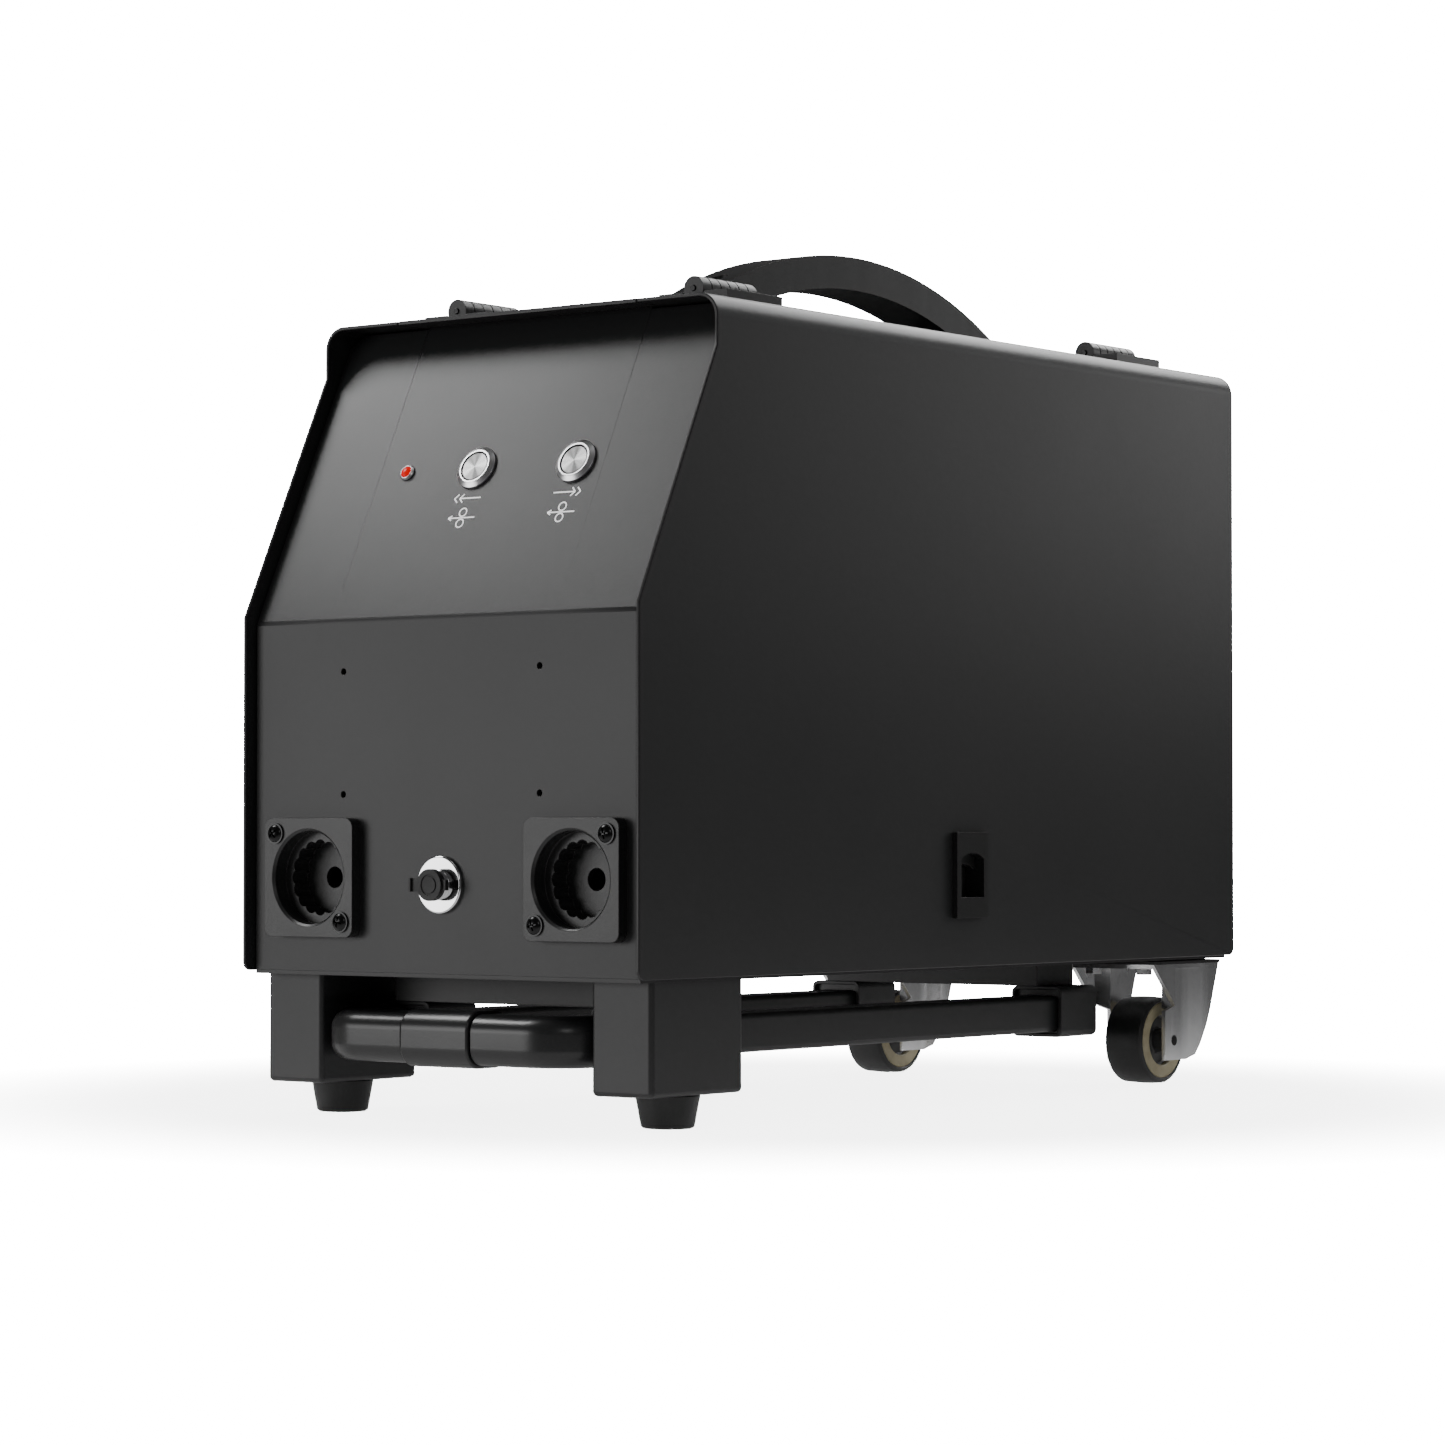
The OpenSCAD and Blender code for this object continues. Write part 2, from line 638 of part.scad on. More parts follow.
module cross_members() color(body_black) placed() for (y = [front_sleeve_y, rear_sleeve_y]) difference() {
    box([-rail_x - 3, y - cross_inset, sleeve_top], [rail_x + 3, y - cross_inset + cross_l, tray_z]);
    box([-rail_x, y - cross_inset + sheet, sleeve_top + sheet],
        [rail_x, y - cross_inset + cross_l - sheet, tray_z + cut]);
}

module sleeve_outline() translate([rail_x, sleeve_top - sleeve_h / 2])
    rounded_ring(sleeve_w, sleeve_h, 4, sleeve_wall);

module rail_sleeves() color(body_black) placed() for (y = [front_sleeve_y, rear_sleeve_y])
    both_sides() along_y(y, sleeve_l) sleeve_outline();

module rail_liners() color(plastic_black) placed() for (y = [front_sleeve_y, rear_sleeve_y])
    both_sides() along_y(y + 3, sleeve_l - 6) difference() {
        translate([rail_x, sleeve_top - sleeve_h / 2])
            rounded_rect(sleeve_w - 2 * sleeve_wall - fit, sleeve_h - 2 * sleeve_wall - fit, 2);
        translate([rail_x, rail_z]) rounded_rect(rail_w + fit, rail_h + fit, 3);
    }

module rails() color(body_black) placed() both_sides() along_y(rail_front, rail_rear - rail_front)
    translate([rail_x, rail_z]) rounded_ring(rail_w, rail_h, 3, rail_wall);

module trolley_tubes() color(steel) placed() both_sides()
    along_y(grip_leg_end - 12, trolley_travel + 60) translate([rail_x, rail_z])
        rounded_ring(tube_w, tube_h, 1.5, 1.4);

module grip_section() rounded_rect(grip_d, grip_h, grip_edge_r);

module grip_solid() {
    bend_x = rail_x + grip_spread - grip_bend;
    bend_y = grip_mid_y + grip_bend;
    core_w = grip_button_w + 1.4;
    both_sides() {
        along_x(core_w / 2, bend_x - core_w / 2) translate([grip_mid_y, rail_z]) grip_section();
        translate([bend_x, bend_y, rail_z]) rotate(-90) rotate_extrude(angle = 90) translate([grip_bend, 0])
            grip_section();
        along_y(bend_y, grip_leg_end - bend_y) translate([rail_x + grip_spread, rail_z]) grip_section();
    }
    along_x(-core_w / 2 - cut, core_w + 2 * cut) translate([grip_mid_y, rail_z])
        rounded_rect(core_d, core_h, 4);
}

module trolley_grip() color(plastic_black) placed() difference() {
    grip_solid();
    both_sides() along_y(grip_leg_end - 12, 12 + cut) translate([rail_x, rail_z])
        rounded_rect(tube_w, tube_h, 1.5);
}

// The release button is a sleeve round the grip's core, pressed back toward the case
module trolley_button() color(plastic_black) placed() along_x(-grip_button_w / 2, grip_button_w)
    translate([grip_mid_y, rail_z]) difference() {
        rounded_rect(grip_d + 3, grip_h + 3, grip_edge_r + 1.2);
        rounded_rect(core_d + 2 * grip_button_travel + 0.6, core_h + 0.6, 4);
    }

// Casters ---------------------------------------------------------------------------------------------

module at_casters(side) on_side(side) translate([wheel_x, axle_y, 0]) children();

// Plan outline of a leg: a web by the axle, with flanges that stand further out
module fork_leg_plan() {
    web = fork_web_x;
    out = fork_web_x + fork_flare;
    bend = [for (i = [0:6]) [web + fork_flare * (1 - cos(i * 30)) / 2, 6.5 + i * 3.2]];
    line = [[out, -fork_front - 1], [out, -13], [web, -9.5], for (p = bend) p, [out, fork_back + 1]];
    polygon([for (p = line) p, for (i = [len(line) - 1:-1:0]) line[i] + [fork_sheet, 0]]);
}

module fork_leg_side() polygon([[-fork_front, caster_plate_z], [fork_back, caster_plate_z], [18.5, 22],
    [16, 16.5], [11, 13.8], [-9.5, 13.8], [-9.5, 42]]);

module caster_fork(side) color(zinc) placed() at_casters(side) difference() {
    union() {
        for (m = [0, 1]) mirror([m, 0, 0]) intersection() {
            linear_extrude(caster_plate_z) fork_leg_plan();
            along_x(fork_web_x - cut, 20) fork_leg_side();
        }
        box([-fork_web_x - fork_flare, -fork_front, caster_plate_z - fork_sheet],
            [fork_web_x + fork_flare, fork_back, caster_plate_z]);
    }
    translate([0, 0, wheel_r]) rod_x(-40, 80, axle_r + 0.03);
    plate_bolt_holes();
}

module left_caster_fork() caster_fork(-1);
module right_caster_fork() caster_fork(1);

plate_bolts = [for (x = [-17, 17], y = [-fork_front + 8, fork_back - 8]) [x, y]];

module plate_bolt_holes() for (p = plate_bolts) translate([p[0], p[1], caster_plate_z - 10])
    cylinder(h = 25, r = 2.6);

module caster_plates() color(body_black) placed() for (side = [1, -1]) at_casters(side) {
    mid_y = (fork_back - fork_front) / 2;
    difference() {
        union() {
            translate([0, mid_y, caster_plate_z]) linear_extrude(caster_plate_t)
                rounded_rect(2 * (fork_web_x + fork_flare) + 11, fork_front + fork_back, 5);
            translate([0, mid_y, caster_plate_z]) linear_extrude(tray_z - caster_plate_z)
                rounded_rect(2 * (fork_web_x + fork_flare) - 4, fork_front + fork_back - 8, 5);
        }
        plate_bolt_holes();
    }
}

bolt_l = tray_top + 4 - caster_plate_z + fork_sheet;

module caster_bolts() color(steel) placed() for (side = [1, -1]) at_casters(side) for (p = plate_bolts)
    translate([p[0], p[1], caster_plate_z - fork_sheet]) mirror([0, 0, 1]) {
        cylinder(h = 3.5, r = 5, $fn = 6);
        translate([0, 0, -bolt_l]) cylinder(h = bolt_l, r = 2.5);
    }

module caster_axles() color(steel) placed() for (side = [1, -1]) at_casters(side) translate([0, 0, wheel_r])
    rod_x(-fork_web_x - fork_sheet, 2 * (fork_web_x + fork_sheet), axle_r);

core_r = 21.6;
hub_half = fork_web_x - 0.4;

module tyre(side) color(rubber_black) placed() at_casters(side) translate([0, 0, wheel_r]) rotate([0, 90, 0])
    rotate_extrude() polygon([[core_r + fit, -wheel_w / 2], [wheel_r - 2.4, -wheel_w / 2],
        [wheel_r - 0.7, -wheel_w / 2 + 1.4], [wheel_r, -wheel_w / 2 + 4], [wheel_r, wheel_w / 2 - 4],
        [wheel_r - 0.7, wheel_w / 2 - 1.4], [wheel_r - 2.4, wheel_w / 2], [core_r + fit, wheel_w / 2]]);

module wheel_core(side) color([0.72, 0.68, 0.5]) placed() at_casters(side) translate([0, 0, wheel_r])
    rotate([0, 90, 0]) rotate_extrude() polygon([[axle_r + run_gap, -hub_half], [7, -hub_half],
        [7, -wheel_w / 2 + 4], [14.2, -wheel_w / 2 + 4], [14.2, -wheel_w / 2 + 0.4],
        [core_r, -wheel_w / 2 + 0.4], [core_r, wheel_w / 2 - 0.4], [14.2, wheel_w / 2 - 0.4],
        [14.2, wheel_w / 2 - 4], [7, wheel_w / 2 - 4], [7, hub_half], [axle_r + run_gap, hub_half]]);

module left_tyre() tyre(-1);
module right_tyre() tyre(1);
module left_wheel_core() wheel_core(-1);
module right_wheel_core() wheel_core(1);

// Latches ---------------------------------------------------------------------------------------------

latch_hole_l = 21;
latch_proud = 3.2;
finger_hole_low = latch_z - 11.7;
finger_hole_high = latch_z + 11.7;

module finger_hole_outline() {
    translate([latch_y - latch_hole_l / 2, finger_hole_low])
        square([latch_hole_l, finger_hole_high - finger_hole_low - 3]);
    intersection() {
        translate([latch_y - latch_hole_l / 2, finger_hole_low]) square([latch_hole_l, 30]);
        translate([latch_y, finger_hole_high - 19.5]) circle(19.5);
    }
}

module latch_plate(side) color(plastic_black) placed() on_side(side) difference() {
    union() {
        box([half_w, latch_y - latch_l / 2, latch_z - latch_h / 2],
            [half_w + latch_proud, latch_y + latch_l / 2, latch_z + latch_h / 2]);
        difference() {
            box([half_w - 14, latch_y - latch_l / 2 + 3.3, latch_z - latch_h / 2 + 4.3],
                [half_w, latch_y + latch_l / 2 - 3.3, latch_z + latch_h / 2 - 4.3]);
            box([half_w - 12.4, latch_y - latch_hole_l / 2, latch_z - latch_h / 2],
                [half_w - 1.4, latch_y + latch_hole_l / 2, latch_z + latch_h / 2 - 6]);
        }
    }
    along_x(half_w - 2 * cut, 3 * cut + latch_proud) finger_hole_outline();
}

// The tongue slides down in the latch's case until its two prongs are behind the base tray's flange
module latch_tongue(side) color(plastic_black) placed() on_side(side) {
    tongue_top = latch_z + latch_h / 2 - 9;
    along_x(half_w - 6.4, 4) difference() {
        translate([latch_y - 9.8, finger_hole_high - 9]) square([19.6, tongue_top - finger_hole_high + 9]);
        translate([latch_y, finger_hole_high - 6 - 16]) circle(16);
    }
    for (end = [-1, 1]) {
        box([half_w - 10.8, latch_y + end * 8.4 - 1.4, tray_top + tray_flange + 1.2],
            [half_w - 8.4, latch_y + end * 8.4 + 1.4, tongue_top]);
        box([half_w - 10.8, latch_y + end * 8.4 - 1.4, finger_hole_high],
            [half_w - 5, latch_y + end * 8.4 + 1.4, tongue_top]);
    }
}

module left_latch_plate() latch_plate(-1);
module right_latch_plate() latch_plate(1);
module left_latch_tongue() latch_tongue(-1);
module right_latch_tongue() latch_tongue(1);

// Wire drive ------------------------------------------------------------------------------------------

wire_z = socket_z;
low_roll_z = wire_z - wire_gap / 2 - roll_r;
high_roll_z = wire_z + wire_gap / 2 + roll_r;
plate_face = drive_plane - plate_gap;                // the feed plate's face toward the rolls
arm_pivot_z = high_roll_z + 2;
knob_y = roll_y - 30;
knob_z = high_roll_z + 10;

module at_drive(side) on_side(side) translate([side_socket_x(side) - drive_plane, 0, 0]) children();

module feed_plates() color(steel) placed() for (side = [1, -1]) at_drive(side) {
    difference() {
        box([plate_face - feed_plate_t, roll_y - 44, tray_top], [plate_face, roll_y + 44, high_roll_z + 22]);
        translate([0, roll_y, low_roll_z])
            rod_x(plate_face - feed_plate_t - cut, feed_plate_t + 2 * cut, 5.2);
    }
    translate([0, arm_pivot_y, arm_pivot_z]) rod_x(plate_face, 17, arm_pivot_r);
    box([plate_face - 22, roll_y - 44, tray_top], [plate_face - feed_plate_t, roll_y + 44, tray_top + 4]);
}

module gearmotors() color([0.55, 0.56, 0.58]) placed() for (side = [1, -1]) at_drive(side) {
    back = plate_face - feed_plate_t;
    box([back - 40, roll_y - 28, tray_top + 6], [back, roll_y + 28, tray_top + 62]);
    translate([back - 20, roll_y, tray_top + 62]) cylinder(h = 96, r = 19);
    translate([0, roll_y, low_roll_z]) rod_x(back, feed_plate_t + 12, 5);
}

module wire_guides() color([0.75, 0.6, 0.3]) placed() for (side = [1, -1]) at_drive(side) {
    for (y = [[lip + 34, roll_y - roll_r - 3], [roll_y + roll_r + 3, roll_y + roll_r + 40]])
        translate([drive_plane, y[1], wire_z]) rotate([90, 0, 0]) difference() {
            cylinder(h = y[1] - y[0], r = 3.5);
            translate([0, 0, -cut]) cylinder(h = y[1] - y[0] + 2 * cut, r = 1.2);
        }
    for (y = [roll_y - 36, roll_y + 29]) difference() {
        box([plate_face, y, wire_z - 6], [drive_plane + 6, y + 7, wire_z + 5]);
        translate([drive_plane, y + 7 + cut, wire_z]) rotate([90, 0, 0]) cylinder(h = 7 + 2 * cut, r = 3.5);
    }
}

module drive_roll(side, z, x, length, bore_r) color([0.6, 0.6, 0.62]) placed() at_drive(side)
    translate([0, roll_y, z]) rotate([0, 90, 0]) rotate_extrude() polygon([[bore_r, x], [roll_r - 1, x],
        [roll_r, x + 1], [roll_r, drive_plane - 0.9], [roll_r - 0.6, drive_plane],
        [roll_r, drive_plane + 0.9], [roll_r, x + length - 1], [roll_r - 1, x + length],
        [bore_r, x + length]]);

module left_drive_roll() drive_roll(-1, low_roll_z, drive_plane - roll_w / 2, roll_w, 5 + run_gap);
module right_drive_roll() drive_roll(1, low_roll_z, drive_plane - roll_w / 2, roll_w, 5 + run_gap);
module left_pressure_roll() drive_roll(-1, high_roll_z, drive_plane - roll_w / 2, roll_w, 4 + run_gap);
module right_pressure_roll() drive_roll(1, high_roll_z, drive_plane - roll_w / 2, roll_w, 4 + run_gap);

arm_x = drive_plane + roll_w / 2 + 0.6;

module pressure_arm(side) color([0.3, 0.3, 0.32]) placed() at_drive(side) {
    difference() {
        union() {
            along_x(arm_x, arm_t) polygon([[arm_pivot_y + 8, arm_pivot_z - 8],
                [arm_pivot_y + 8, arm_pivot_z + 9], [knob_y - 9, knob_z + 10], [knob_y - 9, knob_z - 2],
                [roll_y - 12, high_roll_z - 9], [roll_y + 12, high_roll_z - 9]]);
            translate([0, arm_pivot_y, arm_pivot_z])
                rod_x(plate_face + 0.5, arm_x - plate_face - 0.5 + cut, 8);
            box([drive_plane - 8, knob_y - 9, knob_z], [arm_x + arm_t, knob_y + 9, knob_z + 10]);
        }
        translate([0, arm_pivot_y, arm_pivot_z]) rod_x(plate_face - cut, 40, arm_pivot_r + run_gap);
        translate([drive_plane, knob_y, knob_z - cut]) cylinder(h = 14, r = 3 + run_gap);
    }
    translate([0, roll_y, high_roll_z]) rod_x(drive_plane - roll_w / 2, roll_w + 2, 4);
}

module left_pressure_arm() pressure_arm(-1);
module right_pressure_arm() pressure_arm(1);

module tension_knob(side) color(plastic_black) placed() at_drive(side)
    translate([drive_plane, knob_y, knob_z]) {
    translate([0, 0, -4]) cylinder(h = 20, r = 3);
    translate([0, 0, 11]) linear_extrude(24) {
        circle(7.6);
        for (i = [0:9]) rotate(i * 36) translate([7.4, 0]) circle(1.1);
    }
}

module left_tension_knob() tension_knob(-1);
module right_tension_knob() tension_knob(1);

module hub_shafts() color(steel) placed() for (side = [1, -1]) on_side(side) translate([0, hub_y, hub_z]) {
    rod_x(partition_half, 5, 30);
    rod_x(partition_half, hub_l + 8, hub_shaft_r);
}

module spool_hub(side) color(plastic_black) placed() on_side(side)
    translate([0, hub_y, hub_z]) difference() {
    union() {
        rod_x(partition_half + 5.6, 5, 42);
        rod_x(partition_half + 5.6, hub_l - 10, hub_r);
        rod_x(partition_half + hub_l - 6, 6, hub_r - 8);
        for (a = [0:30:330]) rotate([a, 0, 0]) translate([0, 15, 0])
            rod_x(partition_half + hub_l - 1, 7, 5.2);
        rod_x(partition_half + hub_l - 1, 7, 15);
        translate([0, 0, -33]) rod_x(partition_half + 10, 10, 4.5);
    }
    rod_x(0, hub_l + 20, hub_shaft_r + run_gap);
}

module left_hub() spool_hub(-1);
module right_hub() spool_hub(1);

// Control board on the back of the front panel
module control_board() color([0.1, 0.35, 0.2]) placed() {
    y = lip + 34;
    box([-52, y, seam_z - 88], [52, y + 1.6, seam_z - 14]);
    for (x = [-44, 44], z = [seam_z - 80, seam_z - 22]) translate([x, y, z]) rotate([90, 0, 0])
        cylinder(h = 34 - sheet, r = 3);
    box([-30, y - 14, seam_z - 70], [-6, y, seam_z - 36]);
    for (x = [6, 20, 34]) translate([x, y, seam_z - 60]) rotate([90, 0, 0]) cylinder(h = 16, r = 5);
}

base_tray();
front_panel();
rear_panel();
partition();
top_strip();
carry_handle();
handle_screws();
left_socket();
right_socket();
socket_screws();
control_connector();
panel_bezels();
lamp_lens();
leg_blocks();
rubber_feet();
cross_members();
rail_sleeves();
rail_liners();
rails();
caster_plates();
left_caster_fork();
right_caster_fork();
caster_axles();
caster_bolts();
fixed_hinge_leaves();
hinge_pins();
gearmotors();
feed_plates();
wire_guides();
hub_shafts();
control_board();
left_door();
right_door();
left_door_leaves();
right_door_leaves();
left_latch_plate();
right_latch_plate();
left_latch_tongue();
right_latch_tongue();
trolley_tubes();
trolley_grip();
trolley_button();
feed_button();
retract_button();
left_tyre();
right_tyre();
left_wheel_core();
right_wheel_core();
dust_cap();
left_hub();
right_hub();
left_drive_roll();
right_drive_roll();
left_pressure_arm();
right_pressure_arm();
left_pressure_roll();
right_pressure_roll();
left_tension_knob();
right_tension_knob();
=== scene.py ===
import json
import math

import bmesh
import bpy
from mathutils import Matrix, Vector


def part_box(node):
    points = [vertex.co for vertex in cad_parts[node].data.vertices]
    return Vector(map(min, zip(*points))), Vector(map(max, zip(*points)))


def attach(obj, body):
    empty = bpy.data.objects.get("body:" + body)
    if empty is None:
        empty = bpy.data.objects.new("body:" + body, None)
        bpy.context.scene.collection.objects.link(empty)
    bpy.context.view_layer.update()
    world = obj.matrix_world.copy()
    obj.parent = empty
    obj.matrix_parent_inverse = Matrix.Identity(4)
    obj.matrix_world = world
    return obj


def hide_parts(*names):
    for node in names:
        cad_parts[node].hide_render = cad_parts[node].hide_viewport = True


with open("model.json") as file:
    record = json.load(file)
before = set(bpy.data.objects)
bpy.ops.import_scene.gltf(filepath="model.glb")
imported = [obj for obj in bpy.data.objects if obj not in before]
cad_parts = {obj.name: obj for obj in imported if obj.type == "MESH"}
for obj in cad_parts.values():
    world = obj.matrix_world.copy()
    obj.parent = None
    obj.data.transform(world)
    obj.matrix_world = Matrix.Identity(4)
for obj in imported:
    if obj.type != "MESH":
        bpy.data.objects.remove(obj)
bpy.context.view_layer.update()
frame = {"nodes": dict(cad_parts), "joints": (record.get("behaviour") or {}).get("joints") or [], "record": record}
mm = 0.001


def middle(node):
    low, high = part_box(node)
    return (Vector(low) + Vector(high)) / 2


def jointOf(name):
    return next(j for j in frame["joints"] if j["name"] == name)


def bodyOf(node):
    for body, members in frame["record"]["behaviour"]["bodies"].items():
        if node in members:
            return body


# ---- shader wiring

class Flow:  # a node's output that can be used in sums
    def __init__(self, bench, socket):
        self.bench = bench
        self.socket = socket

    def sum(self, operation, *others):
        return self.bench.add("ShaderNodeMath", {"operation": operation}, [self, *others])

    def __add__(self, other):
        return self.sum("ADD", other)

    def __mul__(self, other):
        return self.sum("MULTIPLY", other)

    def __rsub__(self, other):
        return self.bench.add("ShaderNodeMath", {"operation": "SUBTRACT"}, [other, self])


class Bench:  # builds one material
    def __init__(self, name):
        self.material = bpy.data.materials.new(name)
        self.material.use_nodes = True
        self.tree = self.material.node_tree
        self.tree.nodes.clear()
        self.place = self.add("ShaderNodeTexCoord", {}, {}, "Object")

    def add(self, kind, settings=None, inputs=None, output=0):
        node = self.tree.nodes.new(kind)
        for key, value in (settings or {}).items():
            setattr(node, key, value)
        pairs = inputs.items() if isinstance(inputs, dict) else enumerate(inputs or [])
        for key, value in pairs:
            if isinstance(value, Flow):
                self.tree.links.new(value.socket, node.inputs[key])
            else:
                node.inputs[key].default_value = value
        return Flow(self, node.outputs[output]) if len(node.outputs) else node

    def noise(self, scale, detail=3.0, roughness=0.55, place=None):
        return self.add("ShaderNodeTexNoise", {}, {"Vector": place or self.place, "Scale": scale,
                        "Detail": detail, "Roughness": roughness})

    def cells(self, scale, place=None, feature="F1", output="Distance"):
        return self.add("ShaderNodeTexVoronoi", {"feature": feature},
                        {"Vector": place or self.place, "Scale": scale}, output)

    def stretched(self, scale, turn=(0, 0, 0), centre=(0, 0, 0)):
        moved = self.add("ShaderNodeVectorMath", {"operation": "SUBTRACT"}, [self.place, centre])
        return self.add("ShaderNodeMapping", {}, {"Vector": moved, "Rotation": turn, "Scale": scale})

    def blend(self, mask, first, second):
        return self.add("ShaderNodeMix", {"data_type": "RGBA"}, {0: mask, 6: first, 7: second}, 2)

    def fit(self, value, low, high, toLow, toHigh):
        return self.add("ShaderNodeMapRange", {}, [value, low, high, toLow, toHigh])

    def bump(self, height, strength, distance):
        return self.add("ShaderNodeBump", {},
                        {"Height": height, "Strength": strength, "Distance": distance})

    def finish(self, colour, roughness, metallic=0.0, normal=None, **fixed):
        inputs = {"Base Color": colour, "Roughness": roughness, "Metallic": metallic}
        if normal:
            inputs["Normal"] = normal
        inputs.update({key.replace("_", " "): value for key, value in fixed.items()})
        shader = self.add("ShaderNodeBsdfPrincipled", {}, inputs)
        self.add("ShaderNodeOutputMaterial", {}, {"Surface": shader})
        return self.material


def shade(level, tint=(1, 1, 1)):
    return (level * tint[0], level * tint[1], level * tint[2], 1)


# ---- finishes

stageLook = {"floor": 0.9, "fade": (0.3, 0.8), "cover": 0.84, "floorGlow": 0.45,
             "air": 0.08, "backdrop": 30.0}
coat = {"dark": 0.018, "light": 0.0205, "spread": 0.012, "grain": 1500, "peel": 420}


def powderCoat(name, level=1.0, roughness=0.4):
    b = Bench(name)
    cloud = b.noise(7, 4)
    grain = b.noise(coat["grain"] * 2.2, 2)
    peel = b.noise(coat["peel"], 3)
    speck = b.cells(2600)
    dark = shade(coat["dark"] * level, (1, 1.01, 1.05))
    light = shade(coat["light"] * level, (1, 1, 1.03))
    colour = b.blend(b.fit(cloud, 0.3, 0.7, 0, 1), dark, light)
    colour = b.blend(b.fit(grain, 0.62, 0.8, 0, 0.25), colour, shade(0.06 * level))
    rough = b.fit(cloud, 0.3, 0.7, roughness - coat["spread"], roughness + coat["spread"]) + grain * 0.06
    height = peel * 0.55 + grain * 0.3 + speck * 0.15
    return b.finish(colour, rough, 0.0, b.bump(height, 0.22, 0.0002))


def mouldedPlastic(name, level, roughness, grain=1300, strength=0.25, sheen=0.5):
    b = Bench(name)
    cloud = b.noise(11, 3)
    cells = b.cells(grain)
    fine = b.noise(grain * 2.4, 2)
    streak = b.noise(9, 5, 0.7, b.stretched((1, 9, 2)))
    colour = b.blend(b.fit(cloud, 0.3, 0.7, 0, 1), shade(level * 0.8), shade(level * 1.25, (1, 1, 1.02)))
    colour = b.blend(b.fit(streak, 0.58, 0.75, 0, 0.1), colour, shade(level * 1.6))
    rough = b.fit(streak, 0.35, 0.7, roughness - 0.015, roughness + 0.02)
    return b.finish(colour, rough, 0.0, b.bump(cells * 0.6 + fine * 0.4, strength, 0.00018),
                    Specular_IOR_Level=sheen)


def rubber(name, level, roughness, ringCentre=None):
    b = Bench(name)
    cloud = b.noise(26, 4)
    fine = b.noise(1900, 3)
    dust = b.noise(60, 6, 0.7)
    colour = b.blend(b.fit(cloud, 0.35, 0.7, 0, 1), shade(level), shade(level * 1.7))
    colour = b.blend(b.fit(dust, 0.62, 0.8, 0, 0.15), colour, shade(0.05, (1, 0.97, 0.92)))
    height = fine
    if ringCentre:  # moulding rings on a wheel's side
        out = b.stretched((0, 1, 1), centre=ringCentre)
        reach = b.add("ShaderNodeVectorMath", {"operation": "LENGTH"}, [out], "Value")
        wave = b.add("ShaderNodeMath", {"operation": "SINE"}, [reach * 5200])
        height = fine * 0.6 + wave * 0.12
    return b.finish(colour, b.fit(dust, 0.3, 0.7, roughness - 0.06, roughness + 0.1), 0.0,
                    b.bump(height, 0.3, 0.0002))


def plated(name, level, roughness, tint=(1, 1, 1.01), spangle=0.0, brushed=(1, 1, 1)):
    b = Bench(name)
    cloud = b.noise(30, 3)
    lines = b.noise(240, 4, 0.6, b.stretched(brushed))
    colour = b.blend(b.fit(cloud, 0.3, 0.7, 0, 1), shade(level * 0.88, tint), shade(level, tint))
    rough = b.fit(lines, 0.3, 0.7, roughness * 0.9, roughness * 1.15)
    height = lines
    if spangle:
        flakes = b.cells(240, output="Color")
        grey = b.add("ShaderNodeRGBToBW", {}, [flakes])
        rough = rough + grey * spangle
        colour = b.blend(grey * spangle * 3, colour, shade(level * 0.7, (0.96, 0.98, 1.02)))
    return b.finish(colour, rough, 1.0, b.bump(height, 0.03, 0.00004))


def turnedSteel(name, centre, normal, level=0.2, roughness=0.32):  # brushed radially round its centre, with the bright sectors of its reflection painted into the colour
    b = Bench(name)
    side = Vector((1, 0, 0))
    up = Vector(normal).cross(side)
    out = b.add("ShaderNodeVectorMath", {"operation": "SUBTRACT"}, [b.place, centre])
    across = b.add("ShaderNodeVectorMath", {"operation": "DOT_PRODUCT"}, [out, side], "Value")
    along = b.add("ShaderNodeVectorMath", {"operation": "DOT_PRODUCT"}, [out, up], "Value")
    angle = b.add("ShaderNodeMath", {"operation": "ARCTAN2"}, [along, across])
    reach = b.add("ShaderNodeVectorMath", {"operation": "LENGTH"}, [out], "Value")
    ring = b.add("ShaderNodeCombineXYZ", {}, [angle * 0.6, reach * 900, 0.0])
    arcs = b.noise(4.0, 6, 0.75, ring)
    # painted highlight: the glow mask marks two broad bright sectors and seven thin spokes of reflection, which
    # are painted lighter into the colour
    highlightFans = b.add("ShaderNodeMath", {"operation": "SINE"}, [angle * 2 + 0.9])
    highlightRays = b.add("ShaderNodeMath", {"operation": "SINE"}, [angle * 7 + 0.4])
    glow = b.fit(highlightFans + highlightRays * 0.35, -1.1, 1.2, 0, 1)
    colour = b.blend(b.fit(arcs, 0.3, 0.7, 0, 1), shade(level * 0.3), shade(level * 0.6))
    colour = b.blend(glow, colour, shade(level * 2.1))
    rough = b.fit(arcs, 0.3, 0.7, roughness * 0.7, roughness * 1.35)
    return b.finish(colour, rough, 1.0, b.bump(arcs, 0.12, 0.00008))


def creamNylon(name):
    b = Bench(name)
    cloud = b.noise(90, 4)
    grime = b.noise(240, 6, 0.7)
    colour = b.blend(b.fit(cloud, 0.3, 0.7, 0, 1), (0.3, 0.26, 0.155, 1), (0.42, 0.375, 0.25, 1))
    colour = b.blend(b.fit(grime, 0.58, 0.78, 0, 0.5), colour, (0.13, 0.11, 0.07, 1))
    return b.finish(colour, b.fit(grime, 0.3, 0.7, 0.42, 0.6), 0.0, b.bump(cloud, 0.15, 0.0002))


def lampGlass(name):
    b = Bench(name)
    cloud = b.noise(700, 2)
    ribs = b.cells(1500)
    colour = b.blend(b.fit(ribs, 0.1, 0.6, 0, 1), (0.75, 0.01, 0.008, 1), (0.4, 0.004, 0.004, 1))
    return b.finish(colour, b.fit(cloud, 0.3, 0.7, 0.2, 0.32), 0.0, b.bump(ribs, 0.2, 0.0001),
                    Specular_IOR_Level=0.2, Emission_Color=(0.9, 0.0, 0.0, 1), Emission_Strength=0.6)


